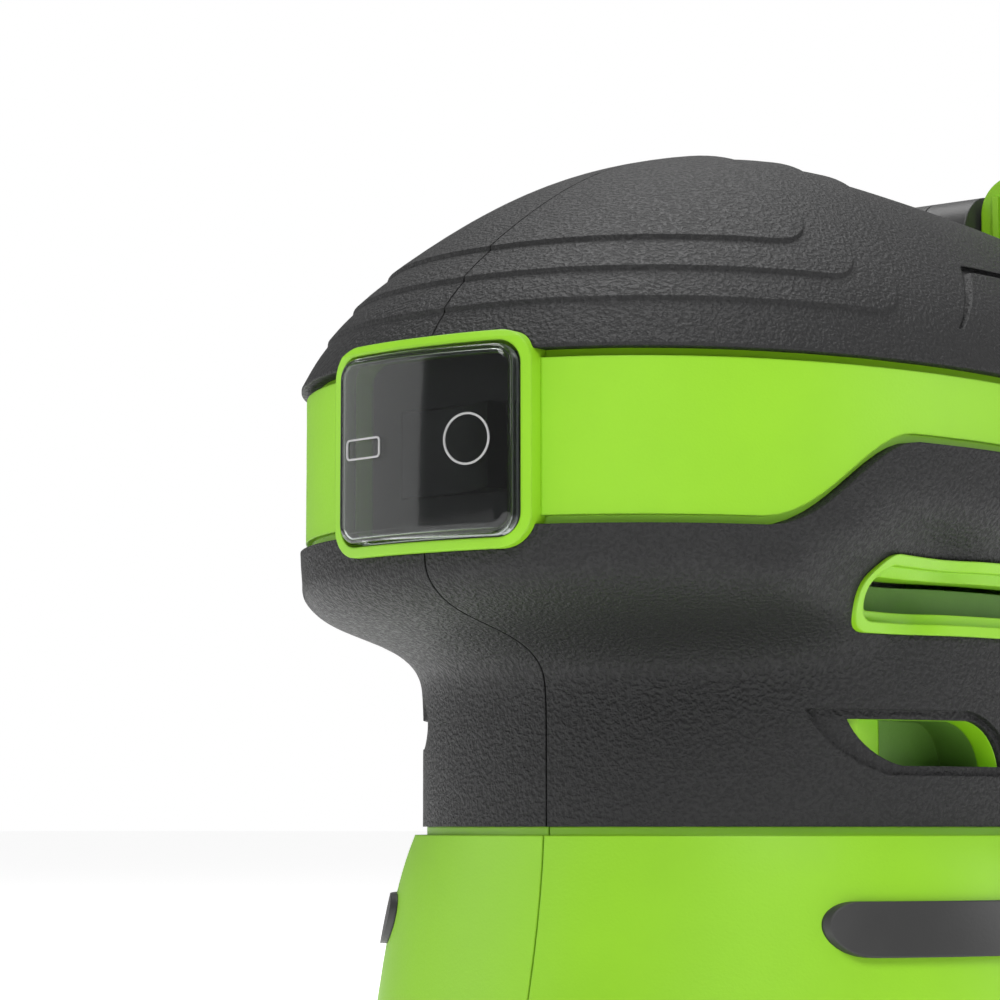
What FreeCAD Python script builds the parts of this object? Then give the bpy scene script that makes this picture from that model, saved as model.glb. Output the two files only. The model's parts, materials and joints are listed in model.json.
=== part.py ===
import FreeCAD, Part
import math
import os
from FreeCAD import Vector

# Cordless mouse sander. Millimetres. X is across the tool with +X on its left side,
# Y runs from the nose (-Y) to the battery (+Y), and Z is up.
# The origin is where the motor axis meets the sanding face.

SIZES = {
    # Outer plan of the body, a superellipse about the motor axis
    "body_half_width": 50.0,
    "nose_reach": 73.0,
    "tail_reach": 196.0,
    "plan_power": 2.23,
    "neck_half_width": 44.7,
    "neck_reach": 48.3,
    "neck_power": 2.0,
    "rear_face": 58.0,
    "rear_corner": 16.0,
    # Heights: the seam is where the grip ends and the green skirt begins
    "seam_height": 58.0,
    "skirt_bottom": 18.0,
    "overhang_centre": 25.0,
    "overhang_softness": 1.6,
    "band_bottom": 36.9,
    "band_top": 55.9,
    "lip_height": 57.0,
    "band_groove": 1.1,
    "rear_step": 11.2,
    "step_start": -53.0,
    "step_length": 20.0,
    # Palm dome
    "dome_base": 57.4,
    "dome_rise": 33.2,
    "dome_power": 2.4,
    "dome_shoulder": 0.65,
    "shoulder_power": 10.45,
    "terrace_step": 0.6,
    "panel_low": 120.5,
    "panel_top": 131.0,
    "panel_top_rise": 2.0,
    "panel_front": -22.0,
    "panel_rear": 40.0,
    "panel_lean": 14.0,
    "panel_groove": 0.9,
    "panel_groove_depth": 0.5,
    "panel_corner": 2.5,
    # Skirt flare
    "skirt_flare": 7.5,
    "skirt_nose_flare": 9.0,
    "skirt_lip": 0.6,
    "skirt_curl": 10.0,
    "skirt_sweep": 1.6,
    "skirt_wall": 2.6,
    # Walls
    "grip_skin": 1.6,
    "band_depth": 0.7,
    "shell_wall": 4.4,
    "half_gap": 0.12,
    # Switch at the nose
    "bezel_half_width": 15.4,
    "bezel_bottom": 33.0,
    "bezel_top": 59.4,
    "bezel_corner": 4.2,
    "bezel_border": 1.3,
    "bezel_proud": 1.0,
    "boot_bulge": 2.4,
    "boot_wall": 1.3,
    "rocker_height": 10.6,
    "rocker_width": 16.0,
    "switch_front": -66.0,
    "rocker_pivot_y": -62.5,
    "switch_depth": 15.0,
    "switch_margin": 2.2,
    "flange_wall": 1.3,
    "flange_gap": 0.3,
    # Side slot vent
    "slot_low": 24.0,
    "slot_high": 33.5,
    "slot_front": -36.0,
    "slot_rear": 34.0,
    "slot_rim": 2.7,
    "slot_proud": 0.6,
    "baffle_wall": 1.6,
    "baffle_gap": 0.6,
    # Scoop vent below the slot
    "scoop_low": 7.6,
    "scoop_high": 13.4,
    "scoop_front": -30.5,
    "scoop_rear": -8.3,
    "scoop_floor": 34.0,
    "scoop_recess": 1.2,
    "scoop_recess_lead": 3.6,
    "scoop_recess_depth": 0.9,
    "scoop_wall": 1.4,
    # Orbit drive
    "orbit_offset": 1.0,
    "shaft_radius": 3.0,
    "shaft_low": 34.0,
    "shaft_high": 130.0,
    "motor_radius": 21.0,
    "motor_low": 64.0,
    "motor_height": 50.0,
    "motor_cap_height": 7.0,
    "bearing_radius": 8.0,
    "bearing_width": 6.0,
    "shaft_clearance": 0.05,
    "mount_plate_low": 61.0,
    "mount_plate_wall": 3.0,
    "fan_radius": 22.0,
    "fan_low": 47.0,
    "fan_height": 9.0,
    "fan_blades": 9,
    "weight_low": 30.0,
    "weight_height": 14.0,
    "weight_radius": 21.5,
    "pad_bearing_radius": 11.0,
    "pad_bearing_width": 7.0,
    "pad_bearing_low": 19.0,
    # Platen, pad and sheet
    "pad_half_width": 53.0,
    "pad_tip": -86.0,
    "pad_rear": 66.0,
    "pad_rear_half": 44.0,
    "tip_radius": 5.0,
    "sheet_thickness": 1.2,
    "hook_thickness": 0.8,
    "foam_thickness": 6.0,
    "platen_thickness": 4.5,
    "dust_hole_radius": 4.0,
    "tower_wall": 3.2,
    "post_radius": 5.5,
    "post_top": 50.0,
    "post_x": 25.0,
    "post_front": -20.0,
    "post_rear": 34.0,
    "cup_low": 42.0,
    "cup_wall": 1.6,
    "orbit_margin": 0.4,
    # Battery
    "battery_half_width": 37.0,
    "battery_gap": 0.4,
    "battery_depth": 50.0,
    "battery_low": 52.0,
    "battery_high": 152.0,
    "battery_corner": 8.0,
    "cell_radius": 9.1,
    "cell_length": 65.0,
    "receiver_wall": 3.0,
    "receiver_half_width": 30.0,
    "receiver_low": 61.0,
    "receiver_height": 76.0,
    "rail_inner": 24.0,
    "rail_width": 4.0,
    "rail_depth": 4.2,
    "rail_low": 63.0,
    "rail_height": 62.0,
    "hump_half_width": 8.2,
    "hump_radius": 8.0,
    "hump_top": 154.8,
    "hump_centre": 55.0,
    "latch_gap": 0.6,
    "latch_ear": 18.0,
    "latch_wall": 2.2,
    "latch_top": 157.0,
    # Dust collection
    "port_radius": 13.0,
    "port_wall": 2.0,
    "port_height": 33.5,
    "port_length": 24.0,
    "box_half_width": 32.0,
    "box_length": 58.0,
    "box_low": 14.0,
    "box_high": 50.0,
    "box_wall": 2.0,
    # Speed board
    "board_width": 34.0,
    "board_thickness": 1.6,
    "board_height": 30.0,
    "board_front": -34.0,
    "board_rise": 32.0,
    "rib_inset": 4.0,
    "rib_length": 6.0,
    "rib_wall": 2.0,
    "rib_grip": 2.0,
    "rib_clearance": 0.1,
    # Badge on the skirt
    "badge_radius": 3.4,
    "badge_front": -34.0,
    "badge_rear": 10.0,
    "badge_drop": 12.5,
    "badge_proud": 0.9,
    # Fasteners
    "screw_radius": 2.0,
    "screw_head": 3.6,
    "boss_radius": 4.6,
}

doc = FreeCAD.newDocument("mouse_sander")
sheet = doc.addObject("Spreadsheet::Sheet", "Sizes")
for row, (alias, number) in enumerate(SIZES.items(), start=1):
    sheet.set(f"A{row}", alias)
    sheet.set(f"B{row}", str(number))
    sheet.setAlias(f"B{row}", alias)
doc.recompute()


def size(alias):
    """The value of one cell of the sheet."""
    return float(sheet.get(alias))


# ---------------------------------------------------------------- helpers

def bind(thing, **expressions):
    """Tie properties of an object to cells of the sheet."""
    for name, expression in expressions.items():
        thing.setExpression(name.replace("_", "."), expression)
    return thing


def put(thing, x="0", y="0", z="0"):
    """Place an object at expressions of the sheet."""
    for axis, expression in zip("xyz", (x, y, z)):
        thing.setExpression(f"Placement.Base.{axis}", cells(expression))
    return thing


def cells(expression):
    """Turn plain cell names into references to the sheet."""
    words = expression
    for alias in sorted(SIZES, key=len, reverse=True):
        words = words.replace(alias, "#" + str(list(SIZES).index(alias)) + "#")
    for place, alias in enumerate(SIZES):
        words = words.replace(f"#{place}#", f"Sizes.{alias}")
    return words


def box(name, length, width, height, x="0", y="0", z="0"):
    """A block centred on x, with its low y and low z corner placed."""
    block = doc.addObject("Part::Box", name)
    bind(block, Length=cells(length), Width=cells(width), Height=cells(height))
    return put(block, f"({x}) - ({length}) / 2", y, z)


def rod(name, radius, height, x="0", y="0", z="0"):
    """An upright cylinder."""
    drum = doc.addObject("Part::Cylinder", name)
    bind(drum, Radius=cells(radius), Height=cells(height))
    return put(drum, x, y, z)


def cut(name, base, tool):
    """Base without tool."""
    result = doc.addObject("Part::Cut", name)
    result.Base = base
    result.Tool = tool
    return result


def fuse(name, pieces):
    """All pieces as one."""
    result = doc.addObject("Part::MultiFuse", name)
    result.Shapes = pieces
    return result


def free(name, shape):
    """A free-form piece whose shape is worked out from the sheet."""
    piece = doc.addObject("Part::Feature", name)
    piece.Shape = shape
    return piece


# ---------------------------------------------------------------- free forms

# Reaches of the cutting blocks, well clear of the body
ACROSS = size("body_half_width") + 10.0
AHEAD = size("nose_reach") + 22.0
CEILING = size("dome_base") + size("dome_rise") + 13.4
ROUND_STEPS = 44
LEVEL_STEP = 2.5


def signed_power(base, power):
    return math.copysign(abs(base) ** power, base)


def plan_point(turn, half_width, reach, power):
    """A point of the body's plan, seen from above, at an angle from the +X axis."""
    behind = size("tail_reach") if math.sin(turn) > 0 else reach
    return Vector(half_width * signed_power(math.cos(turn), 2 / power),
                  behind * signed_power(math.sin(turn), 2 / power), 0)


def rear_rise(y):
    """How far the edge under the band has climbed at a place along the tool."""
    share = min(max((y - size("step_start")) / size("step_length"), 0.0), 1.0)
    return size("rear_step") * share * share * (3 - 2 * share)


def around():
    """Angles once around the plan, from the tail and back to it."""
    return [math.pi / 2 + 2 * math.pi * step / ROUND_STEPS for step in range(ROUND_STEPS + 1)]


def body_ring(level, inset):
    """A level outline of the body: narrow at the neck, full at the band."""
    points = []
    for turn in around():
        wide = plan_point(turn, size("body_half_width") - inset, size("nose_reach") - inset, size("plan_power"))
        slim = plan_point(turn, size("neck_half_width") - inset, size("neck_reach") - inset, size("neck_power"))
        rise = (level - size("overhang_centre") - rear_rise(wide.y)) / size("overhang_softness")
        share = 1 / (1 + math.exp(-max(min(rise, 40), -40)))
        point = slim * (1 - share) + wide * share
        points.append(Vector(point.x, point.y, size("seam_height") + level))
    return points


def skirt_ring(level, inset):
    """A level outline of the skirt, which flares towards the bottom."""
    fall = -level
    depth = size("seam_height") - size("skirt_bottom")
    half_width = size("neck_half_width") + size("skirt_lip") - inset
    half_width += size("skirt_flare") * (1 - math.exp(-fall / size("skirt_curl")))
    reach = size("neck_reach") + size("skirt_lip") - inset
    reach += size("skirt_nose_flare") * (fall / depth) ** size("skirt_sweep")
    points = []
    for turn in around():
        point = plan_point(turn, half_width, reach, size("neck_power"))
        points.append(Vector(point.x, point.y, size("seam_height") + level))
    return points


def solid_through(rings):
    """A closed solid whose side is one smooth surface through level rings."""
    surface = Part.BSplineSurface()
    surface.interpolate(rings)
    first, last = surface.bounds()[:2]
    caps = [Part.Face(Part.Wire([surface.uIso(end).toShape()])) for end in (first, last)]
    shell = Part.makeShell([surface.toShape()] + caps)
    shell.sewShape()
    solid = Part.makeSolid(shell)
    if solid.Volume < 0:
        solid.reverse()
    return solid


def dome_height(x, y, inset):
    """Height of the dome above the seam, falling away in a straight line past its rim."""
    reach = size("tail_reach") if y > 0 else size("nose_reach") - inset
    power = size("plan_power")
    share = ((abs(x) / (size("body_half_width") - inset)) ** power + (abs(y) / reach) ** power) ** (1 / power)
    beyond = max(share - 1, 0)
    share = min(share, 1)
    crown = 1 + size("dome_shoulder") * share ** size("shoulder_power")
    rise = size("dome_rise") * (1 - share ** size("dome_power")) * crown
    rim_slope = size("dome_rise") * size("dome_power") * (1 + size("dome_shoulder"))
    return size("dome_base") + rise - rim_slope * beyond


def under_dome(inset, lift=0.0):
    """Everything within a long way below the dome's surface."""
    grid = []
    for column in range(33):
        x = -ACROSS + 2 * ACROSS * column / 32
        line = []
        for place in range(37):
            y = -AHEAD + 10 + (AHEAD + 60) * place / 36
            z = size("seam_height") + dome_height(x, y, inset) - inset + lift
            line.append(Vector(x, y, z))
        grid.append(line)
    surface = Part.BSplineSurface()
    surface.interpolate(grid)
    return surface.toShape().extrude(Vector(0, 0, -150))


def rear_block(inset, low, high):
    """The space ahead of the rear face, with rounded rear corners."""
    length = AHEAD + size("rear_face") - inset
    block = Part.makeBox(2 * ACROSS, length, high - low, Vector(-ACROSS, -AHEAD, low))
    slab_width = 2 * (size("body_half_width") + 6 - inset)
    slim = Part.makeBox(slab_width, length, high - low, Vector(-slab_width / 2, -AHEAD, low))
    rear = [edge for edge in slim.Edges
            if abs(edge.Length - (high - low)) < 0.001 and edge.CenterOfMass.y > 0]
    return slim.makeFillet(size("rear_corner"), rear).common(block)


def body_form(inset, lift=0.0):
    """The outer form of the grip and the band, drawn in by an inset."""
    seam = size("seam_height")
    count = int(CEILING / LEVEL_STEP) + 2
    tower = solid_through([body_ring(LEVEL_STEP * (step - 1), inset) for step in range(count)])
    ahead = rear_block(inset, seam - 1.5, seam + CEILING - 5)
    return tower.common(ahead).common(under_dome(inset, lift))


def skirt_form(inset):
    """The outer form of the skirt, drawn in by an inset."""
    depth = size("seam_height") - size("skirt_bottom")
    first = size("band_groove")
    rings = [skirt_ring(-first - (depth - first) * step / 10, inset) for step in range(11)]
    return solid_through(rings).common(rear_block(inset, size("skirt_bottom"), size("seam_height")))


def side_face(points):
    """A face in the plane of symmetry through (y, z) points, heights above the seam."""
    seam = size("seam_height")
    corners = [Vector(-ACROSS, y, seam + z) for y, z in points]
    return Part.Face(Part.makePolygon(corners + corners[:1]))


def across(face):
    """A face of the plane of symmetry drawn right across the tool."""
    return face.extrude(Vector(2 * ACROSS, 0, 0))


def edge_under_band(drop):
    """Points along the edge under the band, from the nose to the rear."""
    start, length = size("step_start"), size("step_length")
    places = [-AHEAD] + [start + length * share / 12 for share in range(13)] + [AHEAD]
    return [(y, size("band_bottom") + rear_rise(y) - drop) for y in places]


def above_edge(drop, top):
    """The zone from the edge under the band up to a level."""
    return across(side_face(edge_under_band(drop) + [(AHEAD, top), (-AHEAD, top)]))


def below_edge(drop):
    """The zone from the seam up to the edge under the band."""
    return across(side_face(edge_under_band(drop) + [(AHEAD, 0), (-AHEAD, 0)]))


def stadium(low, high, front, rear, margin):
    """A long slot with round ends in the side view, grown by a margin."""
    seam = size("seam_height")
    radius = (high - low) / 2
    middle = seam + (high + low) / 2
    grown = radius + margin
    bar = Part.makeBox(2 * ACROSS, rear - front - 2 * radius, 2 * grown,
                       Vector(-ACROSS, front + radius, middle - grown))
    ends = [Part.makeCylinder(grown, 2 * ACROSS, Vector(-ACROSS, y, middle), Vector(1, 0, 0))
            for y in (front + radius, rear - radius)]
    return bar.fuse(ends).removeSplitter()


def slot_form(margin):
    return stadium(size("slot_low"), size("slot_high"), size("slot_front"), size("slot_rear"), margin)


def bezel_prism(margin, near, far):
    """The rounded rectangle of the switch window, from one y to another."""
    seam = size("seam_height")
    half = size("bezel_half_width") + margin
    low = seam + size("bezel_bottom") - margin
    high = seam + size("bezel_top") + margin
    block = Part.makeBox(2 * half, far - near, high - low, Vector(-half, near, low))
    edges = [edge for edge in block.Edges if abs(edge.Length - (far - near)) < 0.001
             and abs(abs(edge.CenterOfMass.x) - half) < 0.001]
    return block.makeFillet(size("bezel_corner") + margin, edges)


def scoop_face(margin, lead=0.0):
    """The leaf-shaped opening of the scoop vent in the side view, its tip drawn ahead by a lead."""
    seam = size("seam_height")
    low, high = seam + size("scoop_low") - margin, seam + size("scoop_high") + margin
    front, rear = size("scoop_front") - margin - lead, size("scoop_rear") + margin
    tall = high - low
    top_left = Vector(-ACROSS, front, high)
    top_right = Vector(-ACROSS, rear - tall, high)
    right = Vector(-ACROSS, rear - 0.3 * tall, low + 0.62 * tall)
    low_right = Vector(-ACROSS, rear, low)
    low_left = Vector(-ACROSS, front + 1.1 * tall, low)
    left = Vector(-ACROSS, front + 0.42 * tall, low + 0.36 * tall)
    edges = [Part.makeLine(top_left, top_right), Part.Arc(top_right, right, low_right).toShape(),
             Part.makeLine(low_right, low_left), Part.Arc(low_left, left, top_left).toShape()]
    return Part.Face(Part.Wire(edges))


def half_of(shape, side):
    """The left (+1) or right (-1) half, short of the plane of symmetry."""
    gap = size("half_gap")
    corner = Vector(gap if side > 0 else -ACROSS, -AHEAD, 0)
    return shape.common(Part.makeBox(ACROSS - gap, 2 * AHEAD, 200, corner))


def tidy(shape):
    """A single solid where the boolean left it in a compound."""
    solids = shape.Solids
    if len(solids) == 1:
        return solids[0]
    return Part.makeCompound(solids)


def half_space_beyond(x):
    """Everything further out than x, on both sides."""
    tall = 200
    left = Part.makeBox(ACROSS - x, 2 * AHEAD, tall, Vector(x, -AHEAD, 0))
    right = Part.makeBox(ACROSS - x, 2 * AHEAD, tall, Vector(-ACROSS, -AHEAD, 0))
    return Part.makeCompound([left, right])


def level_slab(low, high):
    """Everything between two heights above the seam."""
    return Part.makeBox(2 * ACROSS, 2 * AHEAD, high - low, Vector(-ACROSS, -AHEAD, size("seam_height") + low))


TERRACES = [(0.946, -2.0, 0.0163), (0.893, -10.5, 0.0166), (0.82, -22.5, 0.0131)]
TERRACE_CORNER = 6.0


def terrace_column(rim, back, bend):
    """An upright column over one raised terrace of the dome: rim arc ahead, bowed edge behind."""
    power = size("plan_power")
    wide, reach = size("body_half_width") * rim, size("nose_reach") * rim

    def outside(x):
        return (x / wide) ** power + (abs(back - bend * x * x) / reach) ** power > 1

    low, high = 0.0, wide
    for _ in range(40):
        middle = (low + high) / 2
        low, high = (low, middle) if outside(middle) else (middle, high)
    corner_x, corner_y = low, back - bend * low * low
    first = math.acos((corner_x / wide) ** (power / 2))
    arc = []
    for step in range(17):
        turn = -first - (math.pi - 2 * first) * step / 16
        arc.append(Vector(wide * signed_power(math.cos(turn), 2 / power),
                          reach * signed_power(math.sin(turn), 2 / power), 0))
    arc[0] = Vector(corner_x, corner_y, 0)
    arc[-1] = Vector(-corner_x, corner_y, 0)
    bow = []
    for step in range(9):
        x = -corner_x + 2 * corner_x * step / 8
        bow.append(Vector(x, back - bend * x * x, 0))
    edges = []
    for points in (arc, bow):
        curve = Part.BSplineCurve()
        curve.interpolate(points)
        edges.append(curve.toShape())
    column = Part.Face(Part.Wire(edges)).extrude(Vector(0, 0, 70))
    column.translate(Vector(0, 0, size("seam_height") + 40))
    upright = [edge for edge in column.Edges if abs(edge.Length - 70) < 0.001]
    return column.makeFillet(TERRACE_CORNER, upright)


# ---------------------------------------------------------------- shells

outer = body_form(0.0)
under_skin = body_form(size("grip_skin"))
cavity = body_form(size("shell_wall"))
band_face = body_form(size("band_depth"))
proud_face = body_form(-size("slot_proud"))
bezel_face = body_form(-size("bezel_proud"))
skin = outer.cut(under_skin)
bezel_block = bezel_prism(0.0, -AHEAD, size("switch_front") + 3.0)
slot_block = slot_form(0.0)
scoop_hollow = across(scoop_face(0.0)).common(half_space_beyond(size("scoop_floor")))


def latch_room():
    """The two notches in the rear of the dome that the latch ears stand in."""
    hump, gap = size("hump_half_width"), size("latch_gap")
    low = size("latch_top") - 19
    rooms = []
    for side in (1, -1):
        near = hump
        width = size("latch_ear") + 2 * gap
        corner = Vector(near if side > 0 else -near - width, 49.5, low)
        rooms.append(Part.makeBox(width, 30, 60, corner))
    return Part.makeCompound(rooms)


def hump_room(margin):
    """The space of the rounded hump between the latch ears."""
    radius = size("hump_radius") + margin
    half = size("hump_half_width")
    centre = Vector(-half, size("hump_centre"), size("hump_top") - size("hump_radius"))
    drum = Part.makeCylinder(radius, 2 * half, centre, Vector(1, 0, 0))
    foot = Part.makeBox(2 * half, 2 * radius, 10, Vector(-half, centre.y - radius, centre.z - 10))
    ahead = Part.makeBox(2 * half, 80, 40, Vector(-half, 60.0 - 80, centre.z - 12))
    return drum.fuse(foot).common(ahead)


def housing():
    """Both housing halves before they are parted: band, inner wall, seam ring, skirt and slot rims."""
    bright = above_edge(0.0, size("band_top"))
    ring = body_form(size("skirt_lip")).common(level_slab(-1.5, 0))
    solid = under_skin.fuse([band_face.common(bright), ring, skirt_form(0.0)])
    solid = solid.fuse(proud_face.common(slot_block))
    solid = solid.cut(cavity.fuse(skirt_form(size("skirt_wall"))))
    bevel = slot_form(-size("slot_rim") / 2).cut(body_form(size("slot_proud")))
    solid = solid.cut(slot_form(-size("slot_rim"))).cut(bevel)
    solid = solid.cut(scoop_hollow).cut(bezel_block)
    port = Part.makeCylinder(size("port_radius"), 20, Vector(0, 45, size("port_height")), Vector(0, 1, 0))
    return solid.cut(port).cut(latch_room()).cut(hump_room(0.0))


def dome_panel(margin):
    """A prism right across the dome behind the terraces, wide at its foot and rounded at its top corners."""
    low, top = size("panel_low"), size("panel_top") + margin
    front, rear, lean = size("panel_front") - margin, size("panel_rear") + margin, size("panel_lean")
    corners = [Vector(-ACROSS, front, low), Vector(-ACROSS, front + lean, top),
               Vector(-ACROSS, rear - lean, top + size("panel_top_rise")), Vector(-ACROSS, rear, low)]
    prism = Part.Face(Part.makePolygon(corners + corners[:1])).extrude(Vector(2 * ACROSS, 0, 0))
    upper = [edge for edge in prism.Edges
             if abs(edge.Length - 2 * ACROSS) < 0.001 and edge.CenterOfMass.z > top - 0.001]
    return prism.makeFillet(size("panel_corner"), upper)


def palm_grip():
    """The soft cover of the dome with its raised terraces."""
    cover = skin.common(level_slab(size("lip_height"), CEILING))
    for count, (rim, back, bend) in enumerate(TERRACES, start=1):
        step = size("terrace_step")
        layer = body_form(0.0, step * count).cut(body_form(0.0, step * (count - 1)))
        cover = cover.fuse(layer.common(terrace_column(rim, back, bend)))
    wide = size("panel_groove") / 2
    groove = dome_panel(wide).cut(dome_panel(-wide)).cut(body_form(size("panel_groove_depth")))
    return cover.cut(groove).cut(bezel_block).cut(latch_room()).cut(hump_room(0.0))


def neck_grip():
    """The soft cover of the neck, open for the slots, the scoops and the bezel."""
    cover = skin.common(below_edge(size("band_groove")))
    recess = across(scoop_face(size("scoop_recess"), size("scoop_recess_lead"))).cut(body_form(size("scoop_recess_depth")))
    return cover.cut(slot_block).cut(across(scoop_face(0.0))).cut(recess).cut(bezel_block)


def bezel():
    """The raised frame round the switch window, with a back wall for the switch."""
    wall_front = size("switch_front") + size("flange_wall") + 0.1
    ring = bezel_block.common(bezel_face)
    window = bezel_prism(-size("bezel_border"), -AHEAD, wall_front)
    half = size("rocker_width") / 2 + size("switch_margin")
    tall = size("rocker_height") + 2 * size("switch_margin")
    middle = size("seam_height") + (size("bezel_bottom") + size("bezel_top")) / 2
    hole = Part.makeBox(2 * half, 20, tall, Vector(-half, wall_front - 5, middle - tall / 2))
    return ring.cut(window).cut(hole)


def boot():
    """The clear pillow-shaped cover over the rocker."""
    border, wall, bulge = size("bezel_border"), size("boot_wall"), size("boot_bulge")
    back = size("switch_front") - 1.0
    block = bezel_prism(-border, -AHEAD, back).common(body_form(-bulge))
    hollow = bezel_prism(-border - wall, -AHEAD, back).common(body_form(wall - bulge))
    return block.cut(hollow)


def scoop_cup():
    """The curved green wall behind the scoop openings."""
    wall = size("scoop_wall")
    block = across(scoop_face(wall)).common(half_space_beyond(size("scoop_floor") - wall)).common(cavity)
    return block.cut(scoop_hollow)


def vent_baffle():
    """Strips behind the slots that leave a narrow air gap at their top."""
    strip = cavity.cut(body_form(size("shell_wall") + size("baffle_wall")))
    top = size("slot_high") - size("slot_rim") - size("baffle_gap")
    strip = strip.common(level_slab(size("slot_low") - 1, top))
    span = Part.makeBox(2 * ACROSS, size("slot_rear") - size("slot_front"), 200,
                        Vector(-ACROSS, size("slot_front"), 0))
    return strip.common(span)


def badge():
    """A plain raised bar on each side of the skirt."""
    radius, front, rear = size("badge_radius"), size("badge_front"), size("badge_rear")
    level = size("seam_height") - size("badge_drop")
    bar = Part.makeBox(2 * ACROSS, rear - front, 2 * radius, Vector(-ACROSS, front, level - radius))
    ends = [Part.makeCylinder(radius, 2 * ACROSS, Vector(-ACROSS, y, level), Vector(1, 0, 0))
            for y in (front, rear)]
    plate = bar.fuse(ends).removeSplitter()
    return plate.common(skirt_form(-size("badge_proud")).cut(skirt_form(0.0)))


PAIRS = {
    "housing": housing,
    "palm_grip": palm_grip,
    "neck_grip": neck_grip,
    "exhaust_scoop": scoop_cup,
    "vent_baffle": vent_baffle,
    "skirt_badge": badge,
}
nodes = []
shells = {}
for name, make in PAIRS.items():
    whole = make()
    for side, word in ((1, "left"), (-1, "right")):
        shells[f"{name}_{word}"] = free(f"{name}_{word}", tidy(half_of(whole, side)))
        nodes.append(shells[f"{name}_{word}"])
nodes.append(free("switch_bezel", tidy(bezel())))
nodes.append(free("switch_boot", tidy(boot())))


# ---------------------------------------------------------------- turned and boxed pieces

def keep(thing, label):
    """Name a finished sub-part and count it in."""
    thing.Label = label
    nodes.append(thing)
    return thing


def turned_rod(name, radius, length, axis, x="0", y="0", z="0"):
    """A cylinder lying along X or Y from its base point."""
    drum = rod(name, radius, length, x, y, z)
    turn = {"x": FreeCAD.Rotation(Vector(0, 1, 0), 90), "y": FreeCAD.Rotation(Vector(1, 0, 0), -90)}[axis]
    drum.Placement.Rotation = turn
    return drum


def washer(name, label, outer_radius, inner_radius, height, y="0", z="0"):
    """A ring standing on a height, its axis upright."""
    ring = cut(name, rod(name + "Rim", outer_radius, height, "0", y, z),
               rod(name + "Bore", inner_radius, height, "0", y, z))
    return keep(ring, label)


def motor():
    """Motor can, end cap, shaft, bearings and the eccentric drive under it."""
    can = rod("CanRim", "motor_radius", "motor_height", z="motor_low")
    room = rod("CanRoom", "motor_radius - 1.5", "motor_height - 1.5", z="motor_low + 1.5")
    neck = rod("CanBore", "bearing_radius", "3", z="motor_low - 1")
    keep(cut("Can", can, fuse("CanHollow", [room, neck])), "motor_can")
    cap_low = "motor_low + motor_height"
    cap = fuse("CapSolid", [rod("CapDisc", "motor_radius", "2.5", z=cap_low),
                            rod("CapBoss", "bearing_radius + 2", "motor_cap_height + 3", z=cap_low)])
    bore = rod("CapBore", "bearing_radius", "motor_cap_height + 3", z=cap_low)
    keep(cut("Cap", cap, bore), "motor_end_cap")
    windings = rod("CoreRim", "motor_radius - 1.6", "26", z="motor_low + 12")
    core_bore = rod("CoreBore", "13", "26", z="motor_low + 12")
    keep(cut("Core", windings, core_bore), "motor_magnets")
    bearing_bore = "shaft_radius + shaft_clearance"
    washer("LowBearing", "lower_bearing", "bearing_radius", bearing_bore, "bearing_width", z="motor_low - 4.5")
    washer("HighBearing", "upper_bearing", "bearing_radius", bearing_bore, "bearing_width", z=cap_low + " + 2")
    length = "shaft_high - shaft_low"
    keep(rod("Shaft", "shaft_radius", length, z="shaft_low"), "motor_shaft")
    rotor = rod("RotorRim", "12.4", "24", z="motor_low + 13")
    keep(cut("Rotor", rotor, rod("RotorBore", "shaft_radius", "24", z="motor_low + 13")), "motor_rotor")


def fan():
    """Cooling and dust fan: a hub, a disc and straight blades."""
    hub = rod("FanHub", "shaft_radius + 4", "fan_height", z="fan_low")
    disc = rod("FanDisc", "fan_radius", "1.6", z="fan_low + fan_height / 2 - 0.8")
    blades = []
    for count in range(int(size("fan_blades"))):
        blade = doc.addObject("Part::Box", f"Blade{count}")
        bind(blade, Length=cells("1.6"), Width=cells("fan_radius - 6"), Height=cells("fan_height"))
        turn = FreeCAD.Placement(Vector(), FreeCAD.Rotation(Vector(0, 0, 1), 360 / size("fan_blades") * count))
        blade.Placement = turn.multiply(FreeCAD.Placement(Vector(-0.8, 6, size("fan_low")), FreeCAD.Rotation()))
        blades.append(blade)
    whole = fuse("FanSolid", [hub, disc] + blades)
    keep(cut("Fan", whole, rod("FanBore", "shaft_radius", "fan_height", z="fan_low")), "fan_impeller")


def eccentric():
    """Counterweight on the shaft with the offset stub that drives the platen."""
    hub = rod("WeightHub", "9", "weight_height", z="weight_low")
    disc = rod("WeightDisc", "weight_radius", "weight_height", z="weight_low")
    half = box("WeightTrim", "2 * weight_radius + 2", "weight_radius + 1", "weight_height", z="weight_low")
    lump = cut("WeightHalf", disc, half)
    stub_low = "pad_bearing_low"
    stub = rod("Stub", "4", "weight_low - pad_bearing_low", y="orbit_offset", z=stub_low)
    collar = rod("StubCollar", "6", "weight_low - pad_bearing_low - pad_bearing_width",
                 y="orbit_offset", z="pad_bearing_low + pad_bearing_width")
    whole = fuse("WeightSolid", [hub, lump, stub, collar])
    bore = rod("WeightBore", "shaft_radius", "weight_height", z="shaft_low")
    keep(cut("Weight", whole, bore), "counterweight")
    head = rod("PadScrewHead", "6.5", "2.6", y="orbit_offset", z="pad_bearing_low - 2.6")
    keep(head, "platen_screw")


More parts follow.
